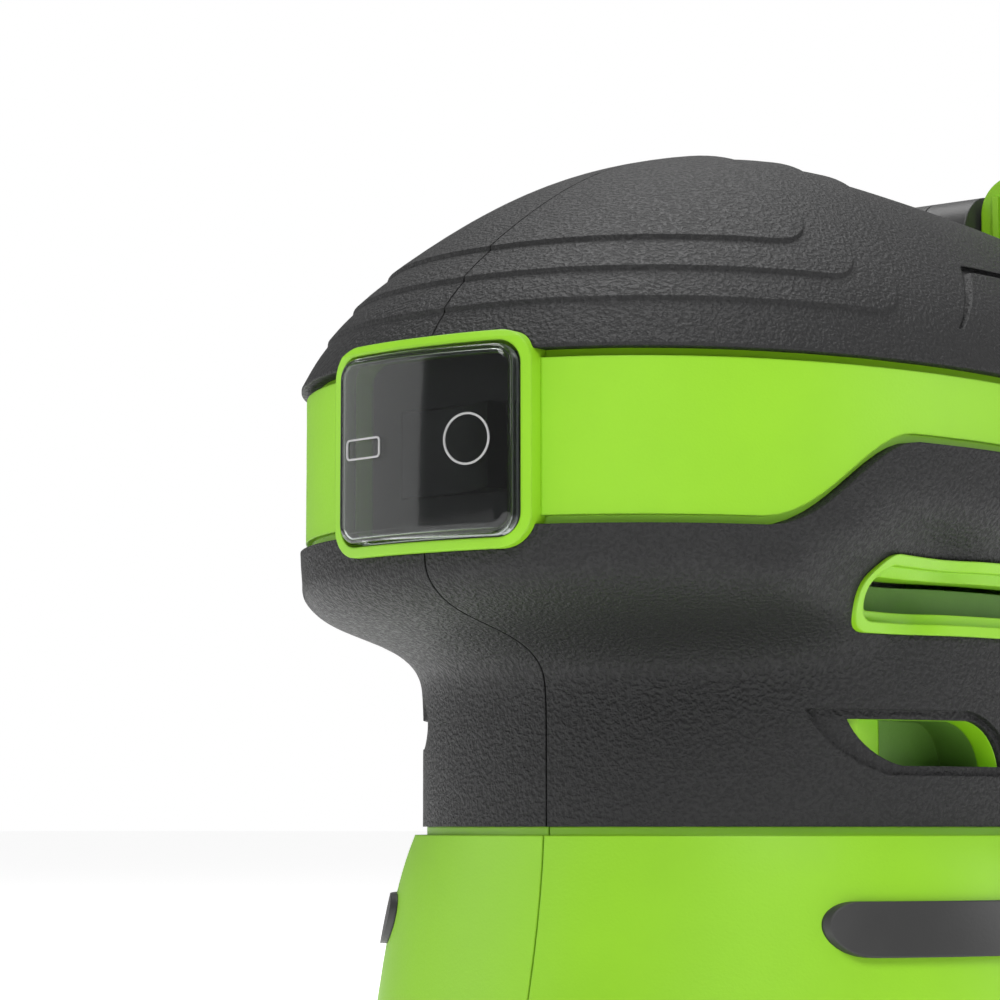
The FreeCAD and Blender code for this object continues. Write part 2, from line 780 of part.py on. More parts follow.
def platen_outline(sketch, margin):
    """The mouse outline: rounded tip, bowed sides, round rear corners. Positions come from the sheet."""
    half, rear_half = size("pad_half_width") - margin, size("pad_rear_half") - margin
    tip, rear = size("pad_tip") + margin, size("pad_rear") - margin
    tip_radius = size("tip_radius")
    waist = 8.0
    centre_y = tip + tip_radius
    shoulder = Vector(tip_radius * 0.83, centre_y - tip_radius * 0.56, 0)
    bow = Vector(half * 0.69, tip * 0.5, 0)
    wide = Vector(half, waist, 0)
    side = Vector(half - 0.9, (waist + rear - 12) / 2, 0)
    corner = Vector(rear_half + 2.4, rear - 14, 0)
    round_middle = Vector(rear_half - 3.2, rear - 4.2, 0)
    rear_point = Vector(rear_half - 14, rear, 0)
    rear_middle = Vector(0, rear + 1.5, 0)

    def mirror(point):
        return Vector(-point.x, point.y, 0)

    arcs = [(shoulder, bow, wide), (wide, side, corner), (corner, round_middle, rear_point)]
    for first, middle, last in arcs:
        sketch.addGeometry(Part.Arc(first, middle, last), False)
        sketch.addGeometry(Part.Arc(mirror(last), mirror(middle), mirror(first)), False)
    sketch.addGeometry(Part.Arc(rear_point, rear_middle, mirror(rear_point)), False)
    sketch.addGeometry(Part.Arc(mirror(shoulder), Vector(0, tip, 0), shoulder), False)


def dust_holes(sketch, radius):
    """Ring of dust holes through every layer."""
    ring = 33.0
    for count in range(8):
        turn = math.pi / 8 + math.pi / 4 * count
        centre = Vector(ring * math.cos(turn), ring * math.sin(turn), 0)
        sketch.addGeometry(Part.Circle(centre, Vector(0, 0, 1), radius), False)


def origin_plane(body, role):
    return [plane for plane in body.Origin.OriginFeatures if plane.Role == role][0]


def pad_layer(name, low, thick, margin, centre_hole=0.0):
    """One flat layer of the platen stack, padded up from its own level."""
    body = doc.addObject("PartDesign::Body", name)
    sketch = body.newObject("Sketcher::SketchObject", name + "Outline")
    sketch.AttachmentSupport = (origin_plane(body, "XY_Plane"), [""])
    sketch.MapMode = "FlatFace"
    platen_outline(sketch, margin)
    dust_holes(sketch, size("dust_hole_radius"))
    if centre_hole:
        sketch.addGeometry(Part.Circle(Vector(0, 0, 0), Vector(0, 0, 1), centre_hole), False)
    pad = body.newObject("PartDesign::Pad", name + "Pad")
    pad.Profile = sketch
    pad.setExpression("Length", cells(thick))
    body.Tip = pad
    return put(body, "0", "orbit_offset", low)


def platen():
    """Abrasive sheet, hook layer, foam pad and the stiff platen with its bearing tower and posts."""
    keep(pad_layer("Sheet", "0", "sheet_thickness", 0.3), "abrasive_sheet")
    keep(pad_layer("Hook", "sheet_thickness", "hook_thickness", 0.0), "hook_layer")
    keep(pad_layer("Foam", "sheet_thickness + hook_thickness", "foam_thickness", 0.0), "foam_pad")
    low = "sheet_thickness + hook_thickness + foam_thickness"
    plate = pad_layer("Plate", low, "platen_thickness", 0.6, 10.0)
    top = low + " + platen_thickness"
    tower_radius = "pad_bearing_radius + tower_wall"
    tower = rod("Tower", tower_radius, "pad_bearing_low + pad_bearing_width - (" + top + ")",
                y="orbit_offset", z=top)
    ribs = []
    for count in range(4):
        rib = doc.addObject("Part::Box", f"Rib{count}")
        bind(rib, Length=cells("3"), Width=cells("26"), Height=cells("5"))
        turn = math.radians(90 * count)
        reach = 12.0
        start = Vector(reach * math.cos(turn) + 1.5 * math.sin(turn),
                       reach * math.sin(turn) - 1.5 * math.cos(turn) + size("orbit_offset"), platen_top())
        rib.Placement = FreeCAD.Placement(start, FreeCAD.Rotation(Vector(0, 0, 1), 90 * count - 90))
        ribs.append(rib)
    solid = fuse("PlatenSolid", [plate, tower] + ribs)
    bearing_room = rod("BearingSeat", "pad_bearing_radius", "pad_bearing_width",
                       y="orbit_offset", z="pad_bearing_low")
    screw_room = rod("ScrewRoom", "9", "pad_bearing_low - (" + low + ")", y="orbit_offset", z=low)
    keep(cut("Platen", solid, fuse("PlatenHoles", [bearing_room, screw_room])), "platen")
    washer("PadBearing", "pad_bearing", "pad_bearing_radius", "4 + shaft_clearance",
           "pad_bearing_width", y="orbit_offset", z="pad_bearing_low")
    posts = []
    for place, (x, y) in enumerate(post_places()):
        post = rod(f"Post{place}", "post_radius", "post_top - (" + top + ")",
                   x, y + " + orbit_offset", top)
        posts.append(post)
    keep(fuse("Posts", posts), "isolator_posts")


def platen_top():
    layers = ("sheet_thickness", "hook_thickness", "foam_thickness", "platen_thickness")
    return sum(size(layer) for layer in layers)


def post_places():
    return [("post_x", "post_front"), ("-post_x", "post_front"), ("post_x", "post_rear"), ("-post_x", "post_rear")]


def motor_mount():
    """Plate across the neck that carries the motor, with four cups for the isolator posts."""
    slab = cavity.common(level_slab(size("mount_plate_low") - size("seam_height"),
                                    size("mount_plate_low") + size("mount_plate_wall") - size("seam_height")))
    plate = free("MountSlab", tidy(slab))
    cups = []
    rooms = [rod("MountBore", "bearing_radius", "20", z="mount_plate_low - 5")]
    for place, (x, y) in enumerate(post_places()):
        cup_radius = "post_radius + orbit_offset + orbit_margin"
        cups.append(rod(f"Cup{place}", cup_radius + " + cup_wall", "mount_plate_low - cup_low", x, y, "cup_low"))
        rooms.append(rod(f"CupRoom{place}", cup_radius, "mount_plate_low - cup_low - 1.5", x, y, "cup_low"))
    air = 27.0
    for count, (x, y) in enumerate([(air, 0), (0, air), (-air, 0), (0, -air)]):
        rooms.append(rod(f"AirHole{count}", "3.2", "20", str(x), str(y), "mount_plate_low - 5"))
    whole = fuse("MountSolid", [plate] + cups)
    keep(cut("Mount", whole, fuse("MountRooms", rooms)), "motor_mount")


SCREWS = [(-34.0, 72.0), (-26.0, 131.0), (38.0, 132.0), (44.0, 70.0)]


def switch():
    """Rocker switch behind the boot, its rocker pressed on the off side."""
    middle = "seam_height + (bezel_bottom + bezel_top) / 2"
    tall = "rocker_height + 2 * switch_margin"
    base = middle + " - (" + tall + ") / 2"
    block = box("SwitchBlock", "rocker_width + 2 * switch_margin", "switch_depth", tall, y="switch_front", z=base)
    front = size("switch_front")
    plate = bezel_prism(-size("bezel_border") - size("flange_gap"), front, front + size("flange_wall"))
    body = fuse("SwitchFront", [block, free("SwitchFlange", plate)])
    room = box("RockerRoom", "rocker_width + 2.4", "switch_depth - 4", "rocker_height + 0.4",
               y="switch_front", z=middle + " - (rocker_height + 0.4) / 2")
    pivot = rod("PivotBore", "1.05", "rocker_height + 3", y="rocker_pivot_y",
                z=middle + " - (rocker_height + 3) / 2")
    keep(cut("SwitchBody", body, fuse("SwitchRooms", [room, pivot])), "switch_body")
    rocker = doc.addObject("PartDesign::Body", "RockerBody")
    sketch = rocker.newObject("Sketcher::SketchObject", "RockerOutline")
    sketch.AttachmentSupport = (origin_plane(rocker, "XY_Plane"), [""])
    sketch.MapMode = "FlatFace"
    half = size("rocker_width") / 2
    corners = [Vector(-half, -5.2, 0), Vector(-half, -0.5, 0), Vector(-3, 2.6, 0),
               Vector(3, 2.6, 0), Vector(half, -0.5, 0), Vector(half, -5.2, 0)]
    for first, last in zip(corners, corners[1:]):
        sketch.addGeometry(Part.LineSegment(first, last), False)
    sketch.addGeometry(Part.Arc(corners[-1], Vector(0, -3.8, 0), corners[0]), False)
    pad = rocker.newObject("PartDesign::Pad", "RockerPad")
    pad.Profile = sketch
    pad.setExpression("Length", cells("rocker_height"))
    rocker.Tip = pad
    pin = rod("RockerPin", "1", "rocker_height + 3")
    pin.setExpression("Placement.Base.z", "-1.5")
    solid = fuse("Rocker", [rocker, pin])
    tilt = FreeCAD.Rotation(Vector(0, 0, 1), -ROCKER_TILT)
    low = size("seam_height") + (size("bezel_bottom") + size("bezel_top") - size("rocker_height")) / 2
    solid.Placement = FreeCAD.Placement(Vector(0, size("rocker_pivot_y"), low), tilt)
    keep(solid, "switch_rocker")
    blades = []
    for place, x in enumerate(("-6", "0", "6")):
        blades.append(box(f"SwitchBlade{place}", "0.8", "8", "6.3", x,
                          "switch_front + switch_depth", middle + " - 3.15"))
    keep(fuse("SwitchBlades", blades), "switch_terminals")


ROCKER_TILT = 11.0


def control_board():
    """Speed board standing between the switch and the motor, with its parts."""
    back = "board_front + board_thickness"
    board = box("Board", "board_width", "board_thickness", "board_height", y="board_front",
                z="seam_height + board_rise")
    chip = box("Chip", "10", "4", "10", x="6", y=back, z="seam_height + board_rise + 8")
    coil = rod("Capacitor", "4", "9", "-8", back + " + 4", "seam_height + board_rise + 4")
    keep(fuse("BoardSolid", [board, chip, coil]), "control_board")


def rear_cover():
    """Smooth hump behind the dome and the flat battery receiver under it, in two halves."""
    hump = hump_room(0.0)
    plate = Part.makeBox(2 * size("receiver_half_width"), size("receiver_wall"), size("receiver_height"),
                         Vector(-size("receiver_half_width"), size("rear_face"), size("receiver_low")))
    foot = Part.makeBox(2 * size("hump_half_width"), 60 - size("rear_face"), 6,
                        Vector(-size("hump_half_width"), size("rear_face"), 132))
    rails = []
    for side in (1, -1):
        near = size("rail_inner") if side > 0 else -size("rail_inner") - size("rail_width")
        corner = Vector(near, size("rear_face") + size("receiver_wall"), size("rail_low"))
        rails.append(Part.makeBox(size("rail_width"), size("rail_depth"), size("rail_height"), corner))
    whole = hump.fuse([plate, foot] + rails)
    for side, word in ((1, "left"), (-1, "right")):
        keep(free(f"RearCover{word}", tidy(half_of(whole, side))), f"rear_cover_{word}")


def terminals():
    """Tool-side terminal block with upright blades, and the battery's slotted contact block."""
    front = "rear_face + receiver_wall"
    block = box("TerminalBlock", "30", "4.4", "10", y=front, z="62")
    keep(block, "terminal_block")
    blades, slots = [], []
    for place, x in enumerate(("-9", "0", "9")):
        blades.append(box(f"TerminalBlade{place}", "0.8", "3.2", "12", x, front + " + 0.6", "72"))
        slots.append(box(f"ContactSlot{place}", "1.6", "10", "11.5", x, front + " - 1", "73"))
    keep(fuse("TerminalBlades", blades), "terminal_blades")
    contact = box("ContactBlock", "26", "4.2", "16", y=front + " + battery_gap", z="73")
    keep(cut("Contacts", contact, fuse("ContactSlots", slots)), "battery_contacts")


def battery_form(inset):
    """The rounded block of the battery pack, drawn in by an inset."""
    half = size("battery_half_width") - inset
    near = size("rear_face") + size("receiver_wall") + size("battery_gap") + inset
    depth = size("battery_depth") - 2 * inset
    low, high = size("battery_low") + inset, size("battery_high") - inset
    block = Part.makeBox(2 * half, depth, high - low, Vector(-half, near, low))
    rear = [edge for edge in block.Edges if edge.CenterOfMass.y > near + depth / 2 - 0.001
            and not (abs(edge.CenterOfMass.z - (low + high) / 2) < 0.001 and edge.CenterOfMass.y < near + 1)]
    return block.makeFillet(max(size("battery_corner") - inset, 1.0), rear)


def battery():
    """Battery case in two shells, its six cells and the latch with its spring."""
    solid = battery_form(0.0)
    rail_front = size("rear_face") + size("receiver_wall")
    low = size("battery_low")
    room = Part.makeBox(60.8, 6.6, 76.0, Vector(-30.4, rail_front - 1, low - 1))
    latch_hole = Part.makeBox(56.4, 12.6, 10.6, Vector(-28.2, rail_front - 1, size("latch_top") - 20.2))
    walls = battery_form(2.2)
    pocket_wall = Part.makeBox(64.8, 8.6, 78.0, Vector(-32.4, rail_front - 1, low - 1))
    latch_wall = Part.makeBox(60.4, 14.6, 14.6, Vector(-30.2, rail_front - 1, size("latch_top") - 22.2))
    inside = walls.cut(pocket_wall).cut(latch_wall)
    case = solid.cut(inside).cut(room).cut(latch_hole)
    split = size("rear_face") + size("receiver_wall") + 27.0
    ahead = Part.makeBox(200, split, 200, Vector(-100, 0, 0))
    keep(free("BatteryFront", tidy(case.common(ahead))), "battery_case_front")
    keep(free("BatteryBack", tidy(case.cut(ahead))), "battery_case_back")
    cells_found = []
    radius, length = size("cell_radius"), size("cell_length")
    for column in range(2):
        for place in range(3):
            y = rail_front + 7.8 + size("battery_gap") + radius + column * 2 * radius
            z = low + 2.4 + radius + 24 + place * (2 * radius + 0.3)
            cells_found.append(turned_rod(f"Cell{column}{place}", "cell_radius", "cell_length", "x",
                                          "-cell_length / 2", str(round(y, 3)), str(round(z, 3))))
    keep(fuse("Cells", cells_found), "battery_cells")


def battery_latch():
    """One latch with two ribbed ears that stand either side of the hump."""
    rail_front = size("rear_face") + size("receiver_wall")
    top = size("latch_top")
    bar = Part.makeBox(54, 5.5, 8, Vector(-27, rail_front - 0.6, top - 19))
    pieces = [bar]
    wall = size("latch_wall")
    for side in (1, -1):
        near = size("hump_half_width") + size("latch_gap")
        corner_x = near if side > 0 else -near - size("latch_ear")
        arm = Part.makeBox(size("latch_ear"), 8.5, 3, Vector(corner_x, rail_front - 8.6, top - 18))
        ear = Part.makeBox(size("latch_ear"), wall + 0.8, 17.5, Vector(corner_x, rail_front - 9.4, top - 17.5))
        upper = [edge for edge in ear.Edges if edge.CenterOfMass.z > top - 0.1 and
                 abs(edge.Length - (wall + 0.8)) < 0.001]
        ear = ear.makeFillet(5.5, upper)
        ribs = []
        for count in range(6):
            x = corner_x + 2.2 + count * 2.6
            ribs.append(Part.makeBox(1.1, 0.7, 12, Vector(x, rail_front - 10.1, top - 15)))
        pieces += [arm, ear] + ribs
    latch = pieces[0].fuse(pieces[1:])
    for x in (-16, 16):
        hole = Part.makeCylinder(2.8, 4.6, Vector(x, rail_front + 0.3, top - 15), Vector(0, 1, 0))
        latch = latch.cut(hole)
    keep(free("Latch", tidy(latch)), "battery_latch")
    springs = []
    for x in (-16, 16):
        tube = Part.makeCylinder(2.3, 7.2, Vector(x, rail_front + 4.4, top - 15), Vector(0, 1, 0))
        core = Part.makeCylinder(1.5, 7.2, Vector(x, rail_front + 4.4, top - 15), Vector(0, 1, 0))
        springs.append(tube.cut(core))
    keep(free("LatchSprings", Part.makeCompound(springs)), "latch_springs")


def dust_collection():
    """Rear dust port, and the slide-on box with its filter and lid."""
    wall = "port_wall"
    tube = turned_rod("PortTube", "port_radius", "port_length + 8", "y", y="rear_face - 8", z="port_height")
    bore = turned_rod("PortBore", "port_radius - port_wall", "port_length + 12", "y",
                      y="rear_face - 10", z="port_height")
    keep(cut("Port", tube, bore), "dust_port")
    near = "rear_face + 1.5"
    shell = box("BoxShell", "2 * box_half_width", "box_length", "box_high - box_low", y=near, z="box_low")
    room = box("BoxRoom", "2 * (box_half_width - box_wall)", "box_length", "box_high - box_low - 2 * box_wall",
               y=near + " + box_wall", z="box_low + box_wall")
    mouth = turned_rod("BoxMouth", "port_radius + 0.1", "20", "y", y="rear_face - 2", z="port_height")
    rounded = doc.addObject("Part::Fillet", "BoxRounded")
    rounded.Base = shell
    doc.recompute()
    upright = [(number, 7.0, 7.0) for number, edge in enumerate(shell.Shape.Edges, start=1)
               if edge.Length > 50 and abs(edge.tangentAt(edge.FirstParameter).y) > 0.9]
    rounded.Edges = upright
    keep(cut("DustBox", rounded, fuse("BoxRooms", [room, mouth])), "dust_box")
    lid_near = near + " + box_length"
    lid = box("LidPlate", "2 * box_half_width - 2 * box_wall - 2", "3", "box_high - box_low - 2 * box_wall - 2",
              y=lid_near + " - 3", z="box_low + box_wall + 1")
    keep(lid, "dust_box_lid")
    folds = []
    for place in range(9):
        x = -24 + 6 * place
        folds.append(box(f"Fold{place}", "1.2", "14", "26", str(x), near + " + box_length - 19", "box_low + 5"))
    backing = box("FilterBack", "56", "1.6", "28", "0", near + " + box_length - 20.6", "box_low + 4")
    keep(fuse("Filter", folds + [backing]), "dust_filter")


def dust_seal():
    """Soft ring under the mount plate that closes the dust chamber to the fan."""
    ring = cut("SealRing", rod("SealRim", "14", "3", z="mount_plate_low - 3"),
               rod("SealBore", "bearing_radius + 1", "3", z="mount_plate_low - 3"))
    keep(ring, "dust_seal")


def screws():
    """Housing screws across the two halves, driven from the right."""
    housing_screws = []
    for place, (y, z) in enumerate(SCREWS):
        shank = turned_rod(f"ScrewShank{place}", "screw_radius", "30", "x", "-15", str(y), str(z))
        head = turned_rod(f"ScrewHead{place}", "screw_head", "3", "x", "-18", str(y), str(z))
        housing_screws += [fuse(f"HousingScrew{place}", [shank, head])]
    keep(fuse("HousingScrews", housing_screws), "housing_screws")


def board_ribs(side):
    """Two slotted ribs in one half that hold the speed board by its edge."""
    spare, edge = size("rib_clearance"), size("board_width") / 2
    front, thick = size("board_front"), size("board_thickness")
    low = size("seam_height") + size("board_rise")
    groove = Part.makeBox(2 * (edge + spare), thick + 2 * spare, size("board_height"),
                          Vector(-edge - spare, front - spare, low))
    near = edge - size("rib_grip") if side > 0 else -ACROSS
    ribs = []
    for rise in (size("rib_inset"), size("board_height") - size("rib_inset") - size("rib_wall")):
        corner = Vector(near, front - (size("rib_length") - thick) / 2, low + rise)
        rib = Part.makeBox(ACROSS - edge + size("rib_grip"), size("rib_length"), size("rib_wall"), corner)
        ribs.append(rib.common(cavity).cut(groove))
    return ribs


def bosses():
    """Screw posts inside each half, from its wall to the parting plane, and the wells for the screw heads."""
    starts = [Vector(0, y, z) for y, z in SCREWS]
    wells = [Part.makeCylinder(size("screw_head"), ACROSS, start + Vector(-15, 0, 0), Vector(-1, 0, 0))
             for start in starts]
    for side, word in ((1, "left"), (-1, "right")):
        half = shells[f"housing_{word}"]
        posts = []
        for start in starts:
            base = start + Vector(side * size("half_gap"), 0, 0)
            post = Part.makeCylinder(size("boss_radius"), ACROSS - 10, base, Vector(side, 0, 0))
            bore = Part.makeCylinder(size("screw_radius"), 15.0, base, Vector(side, 0, 0))
            posts.append(post.common(cavity).cut(bore))
        posts += board_ribs(side)
        solid = half.Shape.fuse(posts)
        half.Shape = tidy(solid.cut(wells) if side < 0 else solid)
    for name in ("palm_grip_right", "neck_grip_right"):
        shells[name].Shape = tidy(shells[name].Shape.cut(wells))


bosses()
motor()
fan()
eccentric()
platen()
motor_mount()
switch()
control_board()
rear_cover()
terminals()
battery()
battery_latch()
dust_collection()
dust_seal()
screws()
doc.recompute()

# ---------------------------------------------------------------- check and write

for thing in doc.Objects:
    if "Invalid" in thing.State or "Error" in thing.State:
        raise RuntimeError(f"{thing.Label} failed: {thing.State}")
os.makedirs("parts", exist_ok=True)
for node in nodes:
    shape = node.Shape
    if shape.isNull() or not shape.isValid() or not shape.Solids:
        raise RuntimeError(f"{node.Label} has no valid solid")
for node in nodes:
    node.Shape.exportStep(f"parts/{node.Label}.step")
    print(node.Label, len(node.Shape.Solids), round(node.Shape.Volume))
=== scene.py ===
import json
import math

import bpy
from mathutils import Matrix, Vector


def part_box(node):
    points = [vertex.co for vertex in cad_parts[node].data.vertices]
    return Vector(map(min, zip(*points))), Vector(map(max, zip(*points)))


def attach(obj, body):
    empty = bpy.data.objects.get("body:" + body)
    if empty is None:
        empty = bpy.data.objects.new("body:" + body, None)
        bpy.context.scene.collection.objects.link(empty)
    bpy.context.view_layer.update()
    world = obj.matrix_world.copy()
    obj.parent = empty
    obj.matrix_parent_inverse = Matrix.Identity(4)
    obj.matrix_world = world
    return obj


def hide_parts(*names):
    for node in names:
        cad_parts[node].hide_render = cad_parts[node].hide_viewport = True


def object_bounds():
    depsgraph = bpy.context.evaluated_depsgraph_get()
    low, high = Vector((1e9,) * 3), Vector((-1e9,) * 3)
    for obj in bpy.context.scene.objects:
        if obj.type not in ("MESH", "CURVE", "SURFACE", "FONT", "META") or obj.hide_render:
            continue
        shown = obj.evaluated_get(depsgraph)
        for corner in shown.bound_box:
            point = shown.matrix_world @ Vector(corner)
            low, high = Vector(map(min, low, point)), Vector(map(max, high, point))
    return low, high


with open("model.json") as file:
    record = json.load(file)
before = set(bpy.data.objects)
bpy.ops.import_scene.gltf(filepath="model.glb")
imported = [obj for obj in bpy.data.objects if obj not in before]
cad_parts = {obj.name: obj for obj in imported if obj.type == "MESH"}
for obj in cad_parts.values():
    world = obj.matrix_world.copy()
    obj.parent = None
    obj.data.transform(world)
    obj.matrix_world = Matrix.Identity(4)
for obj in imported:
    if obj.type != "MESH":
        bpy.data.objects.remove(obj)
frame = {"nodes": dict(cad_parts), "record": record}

bl_info = {
    "name": "Palm sander dresser",
    "version": (1, 0, 0),
    "blender": (4, 5, 0),
    "location": "3D View > Sidebar > Sander",
    "description": "Dresses the packed mouse sander with finished pieces, materials, light and a camera",
    "category": "Object",
}

CAD_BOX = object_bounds()
PREFIX = "sander"
WHITE = (1.0, 1.0, 1.0, 1.0)

MM = 0.001
# how close a corner counts as lying on a plane, loosely and tightly
NEAR = 0.1 * MM
HAIR = 0.01 * MM
SMOOTH_ANGLE = math.radians(28)


# ---------------------------------------------------------------- sizes taken from the frame

def span(node):
    """Lowest corner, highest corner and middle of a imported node."""
    low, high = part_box(node)
    return low, high, (low + high) / 2


BOOT_LOW, BOOT_HIGH, BOOT_MIDDLE = span("switch_boot")
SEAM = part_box("neck_grip_left")[0].z
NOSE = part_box("housing_left")[0].y


# ---------------------------------------------------------------- shader maths

class Flow:
    """One socket of a material, so that maths on it can be written as Python."""

    def __init__(self, finish, socket):
        self.finish = finish
        self.socket = socket

    def maths(self, operation, first, second):
        return self.finish.node("ShaderNodeMath", {"operation": operation}, {0: first, 1: second})

    def __add__(self, other):
        return self.maths("ADD", self, other)

    def __sub__(self, other):
        return self.maths("SUBTRACT", self, other)

    def __rsub__(self, other):
        return self.maths("SUBTRACT", other, self)

    def __mul__(self, other):
        return self.maths("MULTIPLY", self, other)

    __radd__ = __add__
    __rmul__ = __mul__


class Finish:
    """A material under construction."""

    def __init__(self, name, **constants):
        self.material = bpy.data.materials.new(name)
        self.material.use_nodes = True
        self.tree = self.material.node_tree
        self.tree.nodes.clear()
        self.output = self.tree.nodes.new("ShaderNodeOutputMaterial")
        self.shader = self.tree.nodes.new("ShaderNodeBsdfPrincipled")
        self.tree.links.new(self.shader.outputs[0], self.output.inputs["Surface"])
        for label, value in constants.items():
            self.shader.inputs[label.replace("_", " ")].default_value = value

    def node(self, kind, settings=None, inputs=None, output=0):
        """Add any node: its settings first, then the values or links of its sockets."""
        made = self.tree.nodes.new(kind)
        for label, value in (settings or {}).items():
            if label == "stops":
                self.set_stops(made.color_ramp, value)
            else:
                setattr(made, label, value)
        for place, value in (inputs or {}).items():
            self.feed(made.inputs[place], value)
        return Flow(self, made.outputs[output])

    @staticmethod
    def set_stops(ramp, stops):
        """Give a colour ramp as many elements as there are stops."""
        while len(ramp.elements) < len(stops):
            ramp.elements.new(0.5)
        for element, (place, colour) in zip(ramp.elements, stops):
            element.position = place
            element.color = colour

    def feed(self, socket, value):
        """Link a flow to a socket, or set the socket to a constant."""
        if isinstance(value, Flow):
            self.tree.links.new(value.socket, socket)
        else:
            socket.default_value = value

    def put(self, label, value):
        """Feed a socket of the shader."""
        self.feed(self.shader.inputs[label], value)

    def where(self):
        """The place on the object, in metres."""
        return self.node("ShaderNodeTexCoord", output="Object")

    def noise(self, scale, detail=2.0, roughness=0.5, vector=None):
        """Soft random variation; the scale is in waves to the metre."""
        return self.node("ShaderNodeTexNoise", {"noise_dimensions": "3D"},
                         {"Vector": vector or self.where(), "Scale": scale, "Detail": detail,
                          "Roughness": roughness})

    def cells(self, scale, randomness=1.0):
        """A close field of grains, as the distance from the middle of each."""
        return self.node("ShaderNodeTexVoronoi", {"feature": "F1"},
                         {"Vector": self.where(), "Scale": scale, "Randomness": randomness})

    def ramp(self, value, stops):
        """A value turned to colours by stops of place and colour."""
        return self.node("ShaderNodeValToRGB", {"stops": stops}, {0: value})

    def between(self, factor, first, second):
        """A colour part of the way between two colours."""
        return self.node("ShaderNodeMix", {"data_type": "RGBA"}, {0: factor, 6: first, 7: second}, output=2)

    def rounded(self, radius):
        """Normals that soften the hard edges of moulded parts."""
        return self.node("ShaderNodeBevel", {"samples": 4}, {"Radius": radius})

    def relief(self, height, depth, strength=1.0, normal=None):
        """Fine relief that feeds the shader's normal."""
        inputs = {"Height": height, "Distance": depth, "Strength": strength}
        if normal is not None:
            inputs["Normal"] = normal
        self.put("Normal", self.node("ShaderNodeBump", None, inputs))


def grey(level):
    return (level, level, level, 1.0)


def tinted(colour, share=1.0):
    """A colour to change, at a share of its brightness, with its alpha."""
    return tuple(channel * share for channel in colour) + (1.0,)


# ---------------------------------------------------------------- finishes

def lime_plastic():
    """Bright lime moulding with a fine spark-eroded texture and a faint flow mottle."""
    look = bpy.context.scene.sander_look
    finish = Finish("lime_moulded_plastic", Roughness=0.42, Subsurface_Weight=0.06,
                    Subsurface_Radius=(0.002, 0.003, 0.0005))
    mottle = finish.noise(scale=60, detail=3)
    finish.put("Base Color", finish.between(mottle, tinted(look.lime, 0.86), tinted(look.lime)))
    speck = finish.noise(scale=2600, detail=2, roughness=0.6)
    finish.put("Roughness", 0.36 + speck * 0.16)
    finish.relief(speck, depth=0.00004, strength=0.55, normal=finish.rounded(radius=0.00035))
    return finish.material


def grained_grip():
    """Dark soft overmould with a fine pebbled grain."""
    look = bpy.context.scene.sander_look
    finish = Finish("grained_soft_grip", Roughness=0.5, Specular_IOR_Level=0.3)
    pebble = finish.noise(scale=1900, detail=2, roughness=0.5)
    fine = finish.noise(scale=2900, detail=2, roughness=0.6)
    grain = finish.ramp(pebble, [(0.36, grey(0.0)), (0.62, grey(1.0))])
    patch = finish.noise(scale=45, detail=3)
    worn = grain * 0.7 + patch * 0.3
    finish.put("Base Color", finish.between(worn, tinted(look.grip, 0.66), tinted(look.grip)))
    finish.put("Roughness", 0.6 - grain * 0.16 + fine * 0.06)
    finish.relief(grain + fine * 0.6, depth=0.00014, strength=0.8, normal=finish.rounded(radius=0.0003))
    return finish.material


def smooth_dark():
    """Satin dark plastic with a fine texture and light handling marks."""
    finish = Finish("satin_dark_plastic", Roughness=0.38)
    haze = finish.noise(scale=90, detail=4)
    finish.put("Base Color", finish.between(haze, grey(0.022), grey(0.036)))
    speck = finish.noise(scale=2400, detail=2)
    finish.put("Roughness", 0.3 + haze * 0.14 + speck * 0.08)
    finish.relief(speck, depth=0.00003, strength=0.5, normal=finish.rounded(radius=0.0004))
    return finish.material


def black_moulding():
    """Black moulded switch plastic."""
    finish = Finish("black_switch_plastic", Roughness=0.35)
    speck = finish.noise(scale=3000, detail=2)
    finish.put("Base Color", finish.between(speck, grey(0.012), grey(0.022)))
    finish.put("Roughness", 0.28 + speck * 0.18)
    finish.relief(speck, depth=0.00001, strength=0.2)
    return finish.material


def smoked_clear():
    """Clear smoked rubber of the switch boot."""
    finish = Finish("smoked_clear_boot", Roughness=0.06, IOR=1.42, Transmission_Weight=1.0)
    haze = finish.noise(scale=140, detail=3)
    finish.put("Base Color", finish.between(haze, (0.36, 0.38, 0.38, 1), (0.42, 0.44, 0.44, 1)))
    finish.put("Roughness", 0.05 + haze * 0.05)
    return finish.material


def clear_mark():
    """Polished raised outline on the boot."""
    finish = Finish("clear_boot_mark", Roughness=0.12, Transmission_Weight=0.5)
    haze = finish.noise(scale=300, detail=2)
    finish.put("Base Color", finish.between(haze, grey(0.55), grey(0.75)))
    finish.put("Roughness", 0.1 + haze * 0.1)
    return finish.material


def turned_steel():
    """Ground steel with fine turning marks about the motor axis."""
    finish = Finish("ground_steel", Metallic=1.0, Roughness=0.3)
    marks = finish.node("ShaderNodeTexWave", {"wave_type": "BANDS", "bands_direction": "Z"},
                        {"Vector": finish.where(), "Scale": 900.0, "Distortion": 1.5})
    haze = finish.noise(scale=120, detail=3)
    finish.put("Base Color", finish.between(haze, grey(0.38), grey(0.55)))
    finish.put("Roughness", 0.24 + marks * 0.12 + haze * 0.1)
    finish.relief(marks, depth=0.00001, strength=0.4, normal=finish.rounded(radius=0.0003))
    return finish.material


def brass_contact():
    """Stamped contact with a dull film."""
    finish = Finish("stamped_brass", Metallic=1.0, Roughness=0.3)
    film = finish.noise(scale=240, detail=4)
    finish.put("Base Color", finish.between(film, (0.5, 0.34, 0.12, 1), (0.78, 0.58, 0.26, 1)))
    finish.put("Roughness", 0.22 + film * 0.25)
    finish.relief(film, depth=0.00002, strength=0.5)
    return finish.material


